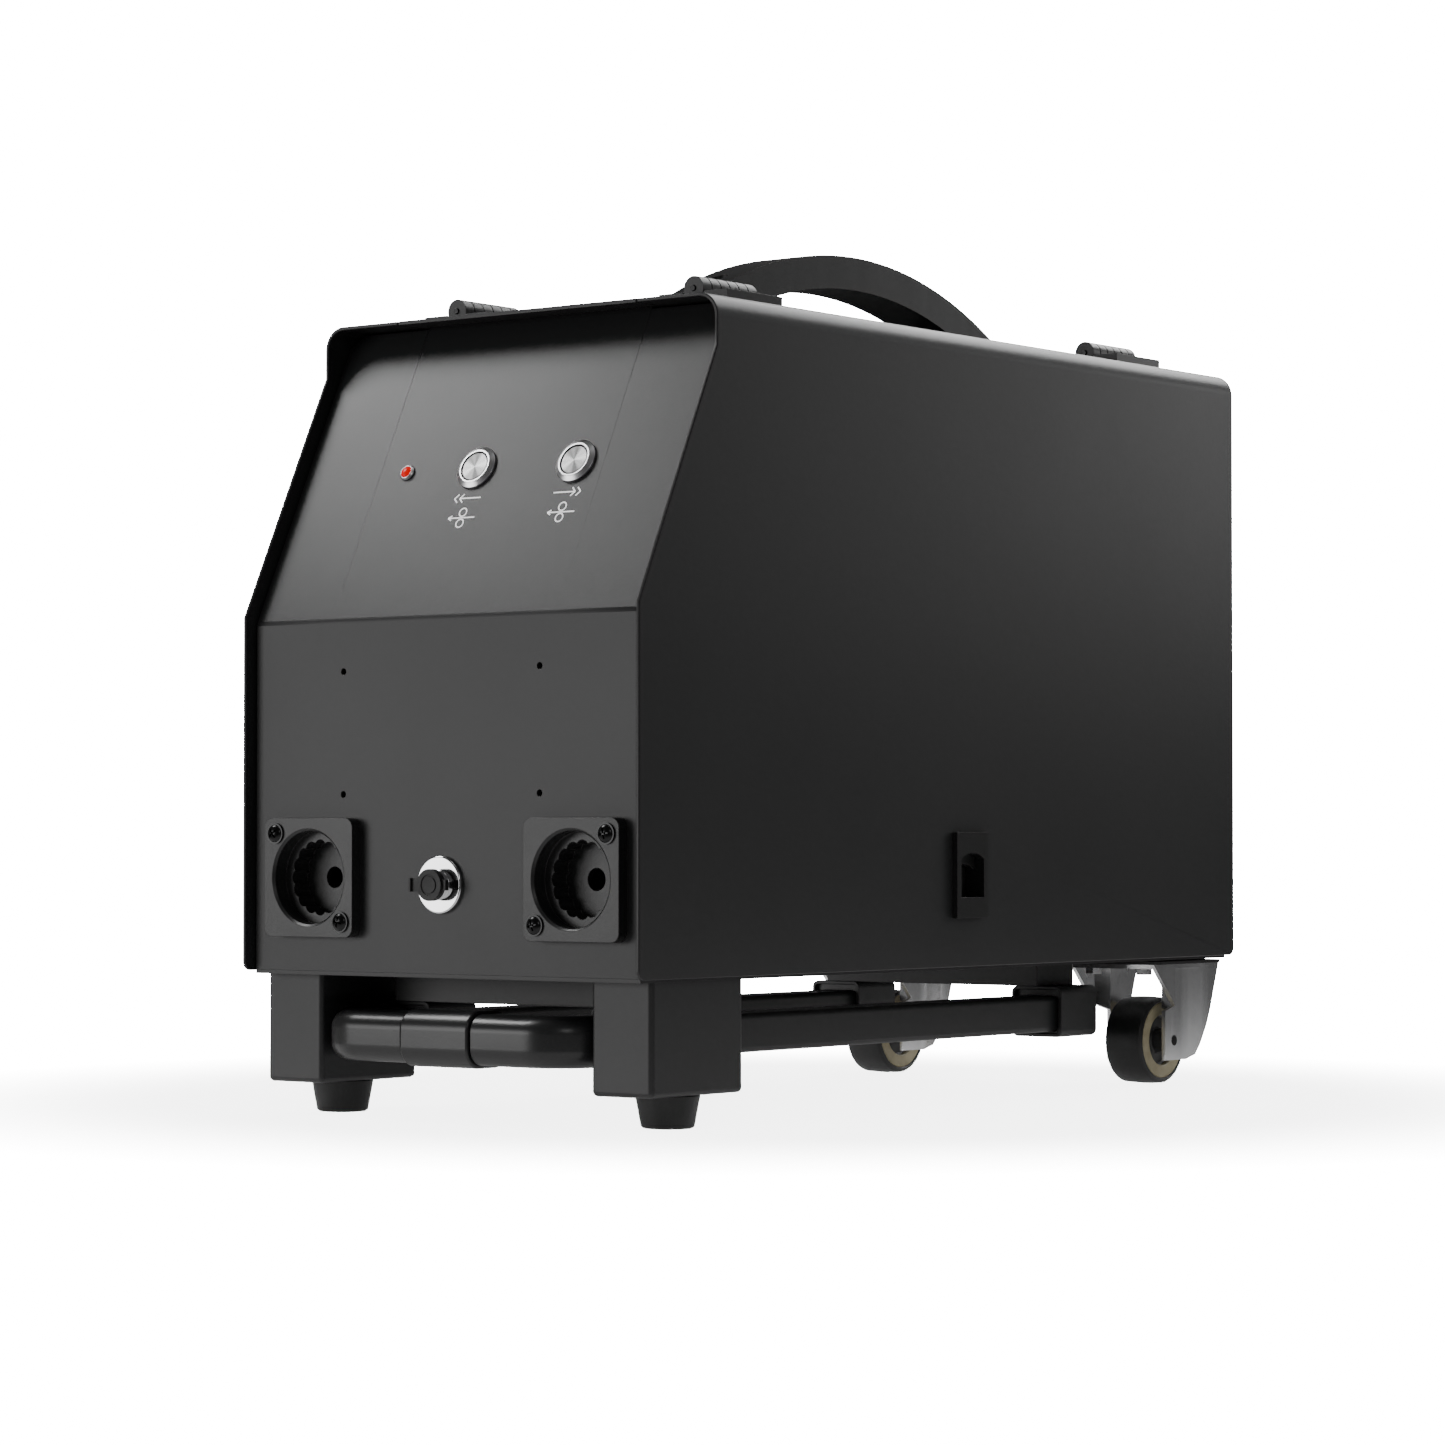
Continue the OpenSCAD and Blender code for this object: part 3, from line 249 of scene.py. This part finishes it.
def brassPlate(name):
    b = Bench(name)
    cloud = b.noise(60, 4)
    lathe = b.noise(300, 3, 0.6, b.stretched((1, 12, 1)))
    colour = b.blend(b.fit(cloud, 0.3, 0.7, 0, 1), (0.42, 0.27, 0.09, 1), (0.62, 0.43, 0.17, 1))
    return b.finish(colour, b.fit(lathe, 0.3, 0.7, 0.22, 0.38), 1.0, b.bump(lathe, 0.1, 0.0001))


def circuitBoard(name):
    b = Bench(name)
    cell = b.cells(170, feature="DISTANCE_TO_EDGE")
    traces = 1 - b.fit(cell, 0.03, 0.06, 0, 1)
    pads = 1 - b.fit(b.cells(420), 0.16, 0.2, 0, 1)
    colour = b.blend(b.noise(40), (0.006, 0.07, 0.025, 1), (0.01, 0.11, 0.045, 1))
    colour = b.blend(traces * 0.7, colour, (0.03, 0.2, 0.08, 1))
    colour = b.blend(pads, colour, (0.5, 0.4, 0.22, 1))
    return b.finish(colour, b.fit(b.noise(300), 0.3, 0.7, 0.3, 0.45), pads * 0.8,
                    b.bump(traces * 0.5 + pads * 0.5, 0.25, 0.0001))


def inkWithPaintedGlow(name):
    b = Bench(name)
    worn = b.noise(900, 5, 0.7)
    colour = b.blend(b.fit(worn, 0.62, 0.82, 0, 0.4), shade(0.85), shade(0.5))
    # painted light: a white emission makes the printed signs glow so they read whiter
    return b.finish(colour, b.fit(worn, 0.3, 0.7, 0.45, 0.6), 0.0, b.bump(worn, 0.1, 0.00005),
                    Emission_Color=(1, 1, 1, 1), Emission_Strength=0.9)


def floorPaint(name):
    b = Bench(name)
    cloud = b.noise(3, 3)
    reach = b.add("ShaderNodeVectorMath", {"operation": "LENGTH"}, [b.place], "Value")
    fade = b.add("ShaderNodeMapRange", {"interpolation_type": "SMOOTHSTEP"},
                 [reach, *stageLook["fade"], stageLook["cover"], 0.0])
    colour = b.blend(b.fit(cloud, 0.3, 0.7, 0, 1), shade(0.88), shade(0.9))
    return b.finish(colour, b.fit(cloud, 0.3, 0.7, 0.6, 0.7), 0.0, None, Alpha=fade,
                    Emission_Color=(1, 1, 1, 1), Emission_Strength=stageLook["floorGlow"])


outward = -Vector(jointOf("feed_button_press")["axis"]).normalized()  # out of the sloped panel
upSlope = Vector((0, outward.z, -outward.y))

paint = powderCoat("charcoalPowder")
paintDark = powderCoat("blackHingePowder", 0.8, 0.36)
handlePlastic = mouldedPlastic("handlePlastic", 0.012, 0.4, sheen=0.3)
gripPlastic = mouldedPlastic("gripPlastic", 0.016, 0.3, 1300, 0.1)
latchPlastic = mouldedPlastic("latchPlastic", 0.013, 0.38)
socketPlastic = mouldedPlastic("socketPlastic", 0.016, 0.36, 1700)
nylonBlack = mouldedPlastic("blackNylon", 0.03, 0.42)
footRubber = rubber("footRubber", 0.006, 0.45)
chrome = plated("brightNickel", 0.8, 0.1)
bezelSteel = plated("bezelSteel", 0.75, 0.3)
zinc = plated("brightZinc", 0.8, 0.24, brushed=(0.3, 0.3, 0.02))
innerZinc = plated("innerZincSheet", 0.55, 0.32, spangle=0.14, brushed=(1, 6, 1))
screwSteel = plated("screwSteel", 0.6, 0.28)
blackOxide = plated("blackOxide", 0.035, 0.24)
rollSteel = plated("hardRollSteel", 0.5, 0.22, brushed=(8, 1, 1))
castGrey = mouldedPlastic("castArmGrey", 0.12, 0.5, 600, 0.4)
motorShell = plated("motorShell", 0.45, 0.4, brushed=(1, 1, 8))
cream = creamNylon("creamNylon")
lampRed = lampGlass("lampRed")
brass = brassPlate("turnedBrass")
board = circuitBoard("circuitBoard")
ink = inkWithPaintedGlow("panelInkPaintedGlow")
print("finishes ready")


# ---- mesh helpers

def keep(name, mesh, material, body):
    piece = bpy.data.objects.new(name, mesh)
    bpy.context.collection.objects.link(piece)
    mesh.materials.clear()
    mesh.materials.append(material)
    for face in mesh.polygons:
        face.material_index = 0
    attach(piece, body)
    return piece


def bakeModifiers(holder, name):
    graph = bpy.context.evaluated_depsgraph_get()
    mesh = bpy.data.meshes.new_from_object(holder.evaluated_get(graph))
    mesh.name = name
    holder.modifiers.clear()
    bpy.data.objects.remove(holder)
    return mesh


def mergedCopy(node):
    shape = bmesh.new()
    shape.from_mesh(frame["nodes"][node].data)
    bmesh.ops.remove_doubles(shape, verts=shape.verts, dist=2e-6)
    bmesh.ops.dissolve_limit(shape, angle_limit=math.radians(0.6), verts=shape.verts, edges=shape.edges)
    return shape


def smoothMesh(mesh, angle=32):
    mesh.shade_smooth()
    mesh.set_sharp_from_angle(angle=math.radians(angle))
    return mesh


broadFace = 1e-4  # square metres


def roundedShape(shape, name, width, segments=3, angle=30, weight=60):
    mesh = bpy.data.meshes.new(name)
    shape.to_mesh(mesh)
    shape.free()
    holder = bpy.data.objects.new(name, mesh)
    bpy.context.collection.objects.link(holder)
    mesh.shade_smooth()
    bevel = holder.modifiers.new("edges", "BEVEL")
    bevel.limit_method = "ANGLE"
    bevel.angle_limit = math.radians(angle)
    bevel.width = width
    bevel.segments = segments
    bevel.use_clamp_overlap = True
    bevel.miter_outer = "MITER_ARC"
    if weight:
        weighted = holder.modifiers.new("shading", "WEIGHTED_NORMAL")
        weighted.keep_sharp = True
        weighted.weight = weight
    mesh = bakeModifiers(holder, name)
    if not weight:  # broad sheet faces are shaded flat, the bends between them smooth
        for face in mesh.polygons:
            face.use_smooth = face.area < broadFace
    return mesh


def roundedNode(node, material, width, segments=3, angle=30, change=None, weight=60):
    shape = mergedCopy(node)
    if change:
        change(shape)
    mesh = roundedShape(shape, node + "Soft", width, segments, angle, weight)
    piece = keep(node + "Soft", mesh, material, bodyOf(node))
    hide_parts(node)
    return piece


def lathe(profile, centre, axis, name, turns=72):  # profile: (reach, along the axis) in metres
    axis = Vector(axis).normalized()
    turnTo = Vector((0, 0, 1)).rotation_difference(axis).to_matrix().to_4x4()
    shape = bmesh.new()
    rings = []
    for reach, along in profile:
        if reach < 1e-7:
            rings.append([shape.verts.new((0, 0, along))])
        else:
            angles = [2 * math.pi * i / turns for i in range(turns)]
            rings.append([shape.verts.new((reach * math.cos(a), reach * math.sin(a), along)) for a in angles])
    for a, b in zip(rings, rings[1:]):
        for i in range(turns):
            j = (i + 1) % turns
            if len(a) == 1 and len(b) == 1:
                continue
            if len(a) == 1:
                shape.faces.new((a[0], b[i], b[j]))
            elif len(b) == 1:
                shape.faces.new((a[i], b[0], a[j]))
            else:
                shape.faces.new((a[i], b[i], b[j], a[j]))
    bmesh.ops.remove_doubles(shape, verts=shape.verts, dist=1e-7)
    bmesh.ops.recalc_face_normals(shape, faces=shape.faces)
    bmesh.ops.transform(shape, matrix=Matrix.Translation(centre) @ turnTo, verts=shape.verts)
    mesh = bpy.data.meshes.new(name)
    shape.to_mesh(mesh)
    shape.free()
    return smoothMesh(mesh, 35)


def arc(centreReach, centreAlong, radius, start, end, steps=6):
    return [(centreReach + radius * math.cos(math.radians(start + (end - start) * i / steps)),
             centreAlong + radius * math.sin(math.radians(start + (end - start) * i / steps)))
            for i in range(steps + 1)]


# ---- sheet-metal case

caseLook = {"edge": 0.0006, "bend": 0.0012, "bendSteps": 4, "blockEdge": 0.0026, "blockSteps": 5,
            "seamLength": 0.05, "foldLength": 0.03}


def bendPanel(shape):  # a real bend radius where the front panel leans back
    seam = [e for e in shape.edges if e.calc_length() > caseLook["seamLength"] and len(e.link_faces) == 2
            and 15 < math.degrees(e.calc_face_angle(0)) < 35
            and abs(e.verts[0].co.z - e.verts[1].co.z) < 1e-5]
    bmesh.ops.bevel(shape, geom=seam, offset=caseLook["bend"], offset_type="OFFSET",
                    segments=caseLook["bendSteps"], profile=0.5, affect="EDGES", clamp_overlap=True)


def bendBlocks(shape):  # the leg blocks are folded, so their long outer edges are round
    openEnd = max(v.co.z for v in shape.verts) - mm
    folds = [e for e in shape.edges if e.calc_length() > caseLook["foldLength"]
             and len(e.link_faces) == 2 and e.is_convex and math.degrees(e.calc_face_angle(0)) > 60
             and (e.verts[0].co.z + e.verts[1].co.z) / 2 < openEnd]
    bmesh.ops.bevel(shape, geom=folds, offset=caseLook["blockEdge"], offset_type="OFFSET",
                    segments=caseLook["blockSteps"], profile=0.5, affect="EDGES", clamp_overlap=False)


roundedNode("front_panel", paint, 0.0003, 2, 40, bendPanel, 0)
for node in ("left_door", "right_door"):
    roundedNode(node, paint, caseLook["edge"], 3, 35)
for node in ("rear_panel", "top_strip", "base_tray", "cross_members", "rail_sleeves", "rails", "caster_plates"):
    roundedNode(node, paint, 0.0004, 2, 35)
roundedNode("leg_blocks", paint, 0.0002, 2, 40, bendBlocks)
print("case done")


# ---- hinges, handle and grip

roundedNode("fixed_hinge_leaves", paintDark, 0.0009, 3, 35)
for node in ("left_door_leaves", "right_door_leaves"):
    roundedNode(node, paintDark, 0.0009, 3, 35)
roundedNode("hinge_pins", blackOxide, 0.0004, 3, 35)
roundedNode("carry_handle", handlePlastic, 0.0028, 5, 50)
roundedNode("handle_screws", blackOxide, 0.0003, 2, 40)
roundedNode("trolley_grip", gripPlastic, 0.0008, 3, 40)
roundedNode("trolley_button", gripPlastic, 0.0012, 4, 40)
roundedNode("trolley_tubes", zinc, 0.0002, 2, 40)
roundedNode("rail_liners", nylonBlack, 0.0002, 2, 40)
print("handles done")


# ---- sockets, connector, buttons

for node in ("left_socket", "right_socket"):
    roundedNode(node, socketPlastic, 0.0006, 3, 35)
roundedNode("control_connector", chrome, 0.00035, 3, 35)
roundedNode("dust_cap", footRubber, 0.0005, 3, 35)
roundedNode("panel_bezels", bezelSteel, 0.0003, 3, 25)
for node in ("feed_button", "retract_button"):
    steel = turnedSteel(node + "Steel", middle(node), outward)
    roundedNode(node, steel, 0.0004, 3, 25)
roundedNode("lamp_lens", lampRed, 0.0002, 2, 40)
for node in ("left_latch_plate", "right_latch_plate"):
    roundedNode(node, latchPlastic, 0.0007, 3, 35)
for node in ("left_latch_tongue", "right_latch_tongue"):
    roundedNode(node, socketPlastic, 0.0005, 3, 35)
print("front fittings done")


# ---- printed signs on the sloped panel

signLook = {"line": 0.0007, "thick": 0.00007, "rollRadius": 0.0023, "length": 0.0172, "drop": 0.0284,
            "tip": (0.0022, 0.0013), "arrowDrop": 0.0171, "arrowHead": 0.0024, "arrowTip": 0.0052,
            "arrowTail": 0.0086, "headGap": 0.0034, "powerDrop": 0.0168, "powerRadius": 0.0031,
            "powerGap": 1.1, "powerBar": (0.0008, 0.0036)}


def onPanel(origin, across, rise, lift):
    return origin + Vector((1, 0, 0)) * across + upSlope * rise + outward * lift


def addPrism(shape, origin, outline):
    top = [shape.verts.new(onPanel(origin, a, r, signLook["thick"])) for a, r in outline]
    low = [shape.verts.new(onPanel(origin, a, r, -signLook["thick"])) for a, r in outline]
    shape.faces.new(top)
    shape.faces.new(low[::-1])
    for i in range(len(outline)):
        j = (i + 1) % len(outline)
        shape.faces.new((top[j], top[i], low[i], low[j]))


def addStroke(shape, origin, start, end):
    line = Vector((end[0] - start[0], end[1] - start[1]))
    across = Vector((-line.y, line.x)).normalized() * signLook["line"] / 2
    corners = [Vector(start) + across, Vector(start) - across, Vector(end) - across, Vector(end) + across]
    addPrism(shape, origin, [(corner.x, corner.y) for corner in corners])


def addRing(shape, origin, centre, radius, gap=0, steps=40):
    span = 2 * math.pi - gap
    for i in range(steps):
        a, b = (math.pi / 2 + gap / 2 + span * k / steps for k in (i, i + 1))
        inner, outer = radius - signLook["line"] / 2, radius + signLook["line"] / 2
        addPrism(shape, origin, [(centre[0] + r * math.cos(t), centre[1] + r * math.sin(t))
                                 for r, t in ((inner, a), (outer, a), (outer, b), (inner, b))])


def wireSign(shape, button, way):
    length, roll = signLook["length"], signLook["rollRadius"]
    origin = button - upSlope * signLook["drop"]
    addStroke(shape, origin, (-length / 2, 0), (length / 2, 0))
    for side in (1, -1):
        addRing(shape, origin, (0, side * (roll + signLook["line"] * 1.2)), roll)
        back, spread = signLook["tip"]
        addStroke(shape, origin, (-length / 2, 0), (-length / 2 + back, side * spread))
    origin = button - upSlope * signLook["arrowDrop"]
    head = signLook["arrowHead"]
    for k in (0, 1):
        tip = way * (signLook["arrowTip"] + signLook["headGap"] * k)
        for side in (1, -1):
            addStroke(shape, origin, (tip, 0), (tip - way * head, side * head))
    addStroke(shape, origin, (-way * signLook["arrowTail"], 0), (way * signLook["arrowTip"], 0))


signs = bmesh.new()
wireSign(signs, middle("feed_button"), -1)
wireSign(signs, middle("retract_button"), 1)
lampSpot = middle("lamp_lens") - upSlope * signLook["powerDrop"]
addRing(signs, lampSpot, (0, 0), signLook["powerRadius"], signLook["powerGap"])
addStroke(signs, lampSpot, *[(0, rise) for rise in signLook["powerBar"]])
signMesh = bpy.data.meshes.new("panelSigns")
signs.to_mesh(signMesh)
signs.free()
keep("panelSigns", signMesh, ink, "chassis")
print("signs done")


# ---- wheels and feet

wheelLook = {"ringIn": 0.0144, "ringOut": 0.0217, "recess": 0.0042, "shoulder": 0.0026,
             "corner": 0.00227, "bore": 0.00306}

for side in ("left", "right"):
    low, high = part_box(side + "_tyre")
    centre = middle(side + "_tyre")
    radius, half = (high[2] - low[2]) / 2, (high[0] - low[0]) / 2
    ringIn, ringOut = wheelLook["ringIn"], wheelLook["ringOut"]
    shoulder = wheelLook["shoulder"]
    corner = arc(radius - shoulder, half - shoulder, wheelLook["corner"], 88, 12)
    tread = corner + [(radius - 0.0001, half * 0.35), (radius, 0.0), (radius - 0.0001, -half * 0.35)]
    tread += [(r, -a) for r, a in corner[::-1]]
    profile = [(ringOut, 0.0), (ringOut, half - 0.0007), (ringOut + 0.0006, half - 0.0002)] + tread
    profile += [(ringOut + 0.0006, -half + 0.0002), (ringOut, -half + 0.0007), (ringOut, 0.0)]
    tyre = keep(side + "TyreSoft", lathe(profile, centre, (1, 0, 0), side + "TyreSoft", 96),
                rubber(side + "TyreRubber", 0.006, 0.42, centre), side + "_wheel")
    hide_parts(side + "_tyre")
    face = half - 0.0004
    ring = [(ringIn, 0.0), (ringIn, face - 0.0005), (ringIn + 0.0005, face), (ringOut - 0.0006, face),
            (ringOut - 0.0001, face - 0.0005), (ringOut - 0.0001, -face + 0.0005), (ringOut - 0.0006, -face),
            (ringIn + 0.0005, -face), (ringIn, -face + 0.0005), (ringIn, 0.0)]
    creamRing = keep(side + "WheelRing", lathe(ring, centre, (1, 0, 0), side + "WheelRing", 96), cream,
                     side + "_wheel")
    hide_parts(side + "_wheel_core")
    low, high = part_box(side + "_wheel_core")
    hubEnd = (high[0] - low[0]) / 2
    deep = face - wheelLook["recess"]
    bore = wheelLook["bore"]
    hub = [(bore, 0.0), (bore, hubEnd), (0.0062, hubEnd), (0.0068, hubEnd - 0.0006), (0.0068, deep + 0.0008),
           (0.0076, deep), (0.0132, deep), (0.0139, deep + 0.0007), (ringIn, deep + 0.0009), (ringIn, 0.0)]
    hub += [(r, -a) for r, a in hub[::-1][1:]]
    keep(side + "WheelHub", lathe(hub, centre, (1, 0, 0), side + "WheelHub", 72), nylonBlack,
         side + "_wheel")

roundedNode("rubber_feet", footRubber, 0.0008, 4, 35)
for node in ("left_caster_fork", "right_caster_fork"):
    roundedNode(node, zinc, 0.0007, 3, 35)
roundedNode("caster_axles", blackOxide, 0.0005, 3, 35)
roundedNode("caster_bolts", screwSteel, 0.0004, 3, 35)
print("wheels done")


# ---- inner machinery

for side in ("left", "right"):
    roundedNode(side + "_hub", nylonBlack, 0.0006, 2, 35)
    roundedNode(side + "_drive_roll", rollSteel, 0.0003, 2, 35)
    roundedNode(side + "_pressure_roll", rollSteel, 0.0003, 2, 35)
    roundedNode(side + "_pressure_arm", castGrey, 0.0008, 3, 35)
    roundedNode(side + "_tension_knob", nylonBlack, 0.0005, 3, 35)
roundedNode("partition", innerZinc, 0.0003, 2, 35)
roundedNode("feed_plates", innerZinc, 0.0005, 2, 35)
roundedNode("gearmotors", motorShell, 0.0012, 3, 35)
roundedNode("hub_shafts", screwSteel, 0.0005, 2, 35)
roundedNode("wire_guides", brass, 0.0003, 2, 35)
roundedNode("control_board", board, 0.0002, 2, 35)
print("inner machinery done")


# ---- screws made by node trees

def screwTree(name, inputs, material):
    tree = bpy.data.node_groups.new(name, "GeometryNodeTree")
    tree.interface.new_socket("Geometry", in_out="INPUT", socket_type="NodeSocketGeometry")
    for key, value in inputs.items():
        kind = "NodeSocketVector" if isinstance(value, tuple) else "NodeSocketFloat"
        socket = tree.interface.new_socket(key, in_out="INPUT", socket_type=kind)
        socket.default_value = value
    tree.interface.new_socket("Geometry", in_out="OUTPUT", socket_type="NodeSocketGeometry")
    source = tree.nodes.new("NodeGroupInput")
    sink = tree.nodes.new("NodeGroupOutput")

    def add(kind, settings=None, **links):
        node = tree.nodes.new(kind)
        for key, value in (settings or {}).items():
            setattr(node, key, value)
        for key, value in links.items():
            byNumber = key[0] == "i" and key[1:].isdigit()
            socket = node.inputs[int(key[1:]) if byNumber else key.replace("_", " ")]
            for item in value if isinstance(value, list) else [value]:
                if isinstance(item, bpy.types.NodeSocket):
                    tree.links.new(item, socket)
                else:
                    socket.default_value = item
        return node

    radius, height, recess = (source.outputs[k] for k in ("Head radius", "Head height", "Recess width"))
    scale = add("ShaderNodeCombineXYZ", X=radius, Y=radius, Z=height)
    ball = add("GeometryNodeMeshUVSphere", Segments=28, Rings=14, Radius=1.0)
    head = add("GeometryNodeTransform", Geometry=ball.outputs[0], Scale=scale.outputs[0])
    length = add("ShaderNodeMath", {"operation": "MULTIPLY"}, i0=radius, i1=1.15)
    depth = add("ShaderNodeMath", {"operation": "MULTIPLY"}, i0=height, i1=1.1)
    barA = add("ShaderNodeCombineXYZ", X=length.outputs[0], Y=recess, Z=depth.outputs[0])
    barB = add("ShaderNodeCombineXYZ", X=recess, Y=length.outputs[0], Z=depth.outputs[0])
    lift = add("ShaderNodeCombineXYZ", X=0.0, Y=0.0, Z=height)
    cuts = []
    for bar in (barA, barB):
        cube = add("GeometryNodeMeshCube", Size=bar.outputs[0])
        lifted = add("GeometryNodeTransform", Geometry=cube.outputs[0], Translation=lift.outputs[0])
        cuts.append(lifted.outputs[0])
    carved = add("GeometryNodeMeshBoolean", {"operation": "DIFFERENCE"}, i0=head.outputs[0], i1=cuts)
    washer = add("GeometryNodeMeshCylinder", Vertices=40, Radius=source.outputs["Washer radius"],
                 Depth=source.outputs["Washer thickness"])
    joined = add("GeometryNodeJoinGeometry", Geometry=[washer.outputs[0], carved.outputs[0]])
    spin = add("FunctionNodeRandomValue", {"data_type": "FLOAT"}, Seed=7)
    spin.inputs[2].default_value, spin.inputs[3].default_value = 0.0, 3.0
    turn = add("ShaderNodeCombineXYZ", X=0.0, Y=0.0, Z=spin.outputs[1])
    placed = add("GeometryNodeInstanceOnPoints", Points=source.outputs["Geometry"],
                 Instance=joined.outputs[0], Rotation=source.outputs["Facing"])
    spun = add("GeometryNodeRotateInstances", Instances=placed.outputs[0], Rotation=turn.outputs[0])
    real = add("GeometryNodeRealizeInstances", Geometry=spun.outputs[0])
    painted = add("GeometryNodeSetMaterial", Geometry=real.outputs[0], Material=material)
    tree.links.new(painted.outputs[0], sink.inputs[0])
    return tree


def screwPiece(name, points, tree, sizes, material, body):
    seed = bpy.data.meshes.new(name + "Points")
    seed.from_pydata([tuple(p) for p in points], [], [])
    holder = bpy.data.objects.new(name, seed)
    bpy.context.collection.objects.link(holder)
    modifier = holder.modifiers.new("screws", "NODES")
    modifier.node_group = tree
    for item in tree.interface.items_tree:
        if item.in_out == "INPUT" and item.name in sizes:
            modifier[item.identifier] = sizes[item.name]
    mesh = bakeModifiers(holder, name)
    smoothMesh(mesh, 40)
    return keep(name, mesh, material, body)


panScrew = {"Head radius": 0.0046, "Head height": 0.0026, "Recess width": 0.001, "Washer radius": 0.0053,
            "Washer thickness": 0.0011, "Facing": (math.pi / 2, 0.0, 0.0)}
panTree = screwTree("panScrewTree", panScrew, blackOxide)
spread = 22.3 * mm
panPoints = []
for node, lean in (("left_socket", -1), ("right_socket", 1)):
    low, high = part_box(node)
    centre = middle(node)
    for k in (1, -1):
        panPoints.append((centre.x + lean * k * spread, low[1] - 0.0004, centre.z + k * spread))
screws = screwPiece("socketScrews", panPoints, panTree, panScrew, blackOxide, "chassis")
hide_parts("socket_screws")

leafScrew = {"Head radius": 0.0027, "Head height": 0.0007, "Recess width": 0.0007, "Washer radius": 0.0029,
             "Washer thickness": 0.0003, "Facing": (0.0, 0.0, 0.0)}
leafTree = screwTree("leafScrewTree", leafScrew, blackOxide)
hingeX = abs(jointOf("right_door_hinge")["pos_m"][0])
low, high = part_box("right_door_leaves")
leafLook = {"thick": 0.008, "reach": 0.0145, "length": 0.046, "rows": (0.18, 0.82)}
leafTop = low[2] + leafLook["thick"]
steps = [leafLook["length"] * k for k in leafLook["rows"]]
leafRows = [low[1] + step for step in steps] + [high[1] - step for step in steps[::-1]]
fixedPoints = [(side * (hingeX - leafLook["reach"]), y, leafTop) for side in (1, -1) for y in leafRows]
screwPiece("fixedLeafScrews", fixedPoints, leafTree, leafScrew, blackOxide, "chassis")
for side, sign in (("right", 1), ("left", -1)):
    points = [(sign * (hingeX + leafLook["reach"]), y, leafTop) for y in leafRows]
    screwPiece(side + "LeafScrews", points, leafTree, leafScrew, blackOxide,
               side + "_door_body")
print("screws done")


# ---- stage, light and camera

floorShape = bmesh.new()
bmesh.ops.create_grid(floorShape, x_segments=2, y_segments=2, size=stageLook["floor"])
floorMesh = bpy.data.meshes.new("studioFloor")
floorShape.to_mesh(floorMesh)
floorShape.free()
floorPiece = bpy.data.objects.new("studioFloor", floorMesh)
floorMesh.materials.append(floorPaint("paleFloor"))
bpy.context.collection.objects.link(floorPiece)

world = bpy.data.worlds.new("studioAir")
bpy.context.scene.world = world
world.use_nodes = True
air = world.node_tree
air.nodes.clear()
seen = air.nodes.new("ShaderNodeBackground")
seen.inputs["Color"].default_value = (1, 1, 1, 1)
seen.inputs["Strength"].default_value = stageLook["backdrop"]
glow = air.nodes.new("ShaderNodeBackground")
glow.inputs["Color"].default_value = (1, 1, 1, 1)
glow.inputs["Strength"].default_value = stageLook["air"]
path = air.nodes.new("ShaderNodeLightPath")
either = air.nodes.new("ShaderNodeMixShader")
out = air.nodes.new("ShaderNodeOutputWorld")
air.links.new(path.outputs["Is Camera Ray"], either.inputs[0])
air.links.new(glow.outputs[0], either.inputs[1])
air.links.new(seen.outputs[0], either.inputs[2])
air.links.new(either.outputs[0], out.inputs[0])


def softBox(name, place, aim, size, power):
    lamp = bpy.data.lights.new(name, "AREA")
    lamp.shape = "RECTANGLE"
    lamp.size, lamp.size_y = size
    lamp.energy = power
    holder = bpy.data.objects.new(name, lamp)
    bpy.context.collection.objects.link(holder)
    holder.location = place
    holder.rotation_euler = (Vector(aim) - Vector(place)).to_track_quat("-Z", "Y").to_euler()


softBox("keyBox", (-0.7, -0.46, 0.98), (-0.1, -0.22, 0.36), (0.34, 0.34), 5.0)
softBox("topBox", (0.5, 0.3, 2.1), (0, 0, 0.3), (1.6, 1.6), 8)
softBox("frontBox", (-1.35, -2.0, 0.3), (0, -0.25, 0.12), (1.3, 0.8), 13)
softBox("rearBox", (0.72, 1.5, 0.62), (0.13, 0.25, 0.3), (0.45, 0.5), 2.2)
softBox("fillBox", (1.3, -1.3, 0.9), (0, -0.2, 0.3), (0.5, 0.5), 2.0)
softBox("edgeBox", (-0.1, 1.7, 1.5), (0.1, 0.1, 0.4), (1.4, 0.5), 22)

cameraLook = {"lens": 106.16, "sensor": 36, "reach": 50, "place": (1.3948, -1.8585, 0.1438),
              "tilt": 91.487, "heading": 37.472}
camera = bpy.data.cameras.new("photoCamera")
camera.lens = cameraLook["lens"]
camera.sensor_width = cameraLook["sensor"]
camera.clip_end = cameraLook["reach"]
cameraHolder = bpy.data.objects.new("photoCamera", camera)
bpy.context.collection.objects.link(cameraHolder)
cameraHolder.location = cameraLook["place"]
cameraHolder.rotation_euler = (math.radians(cameraLook["tilt"]), 0, math.radians(cameraLook["heading"]))
bpy.context.scene.camera = cameraHolder
print("stage done")
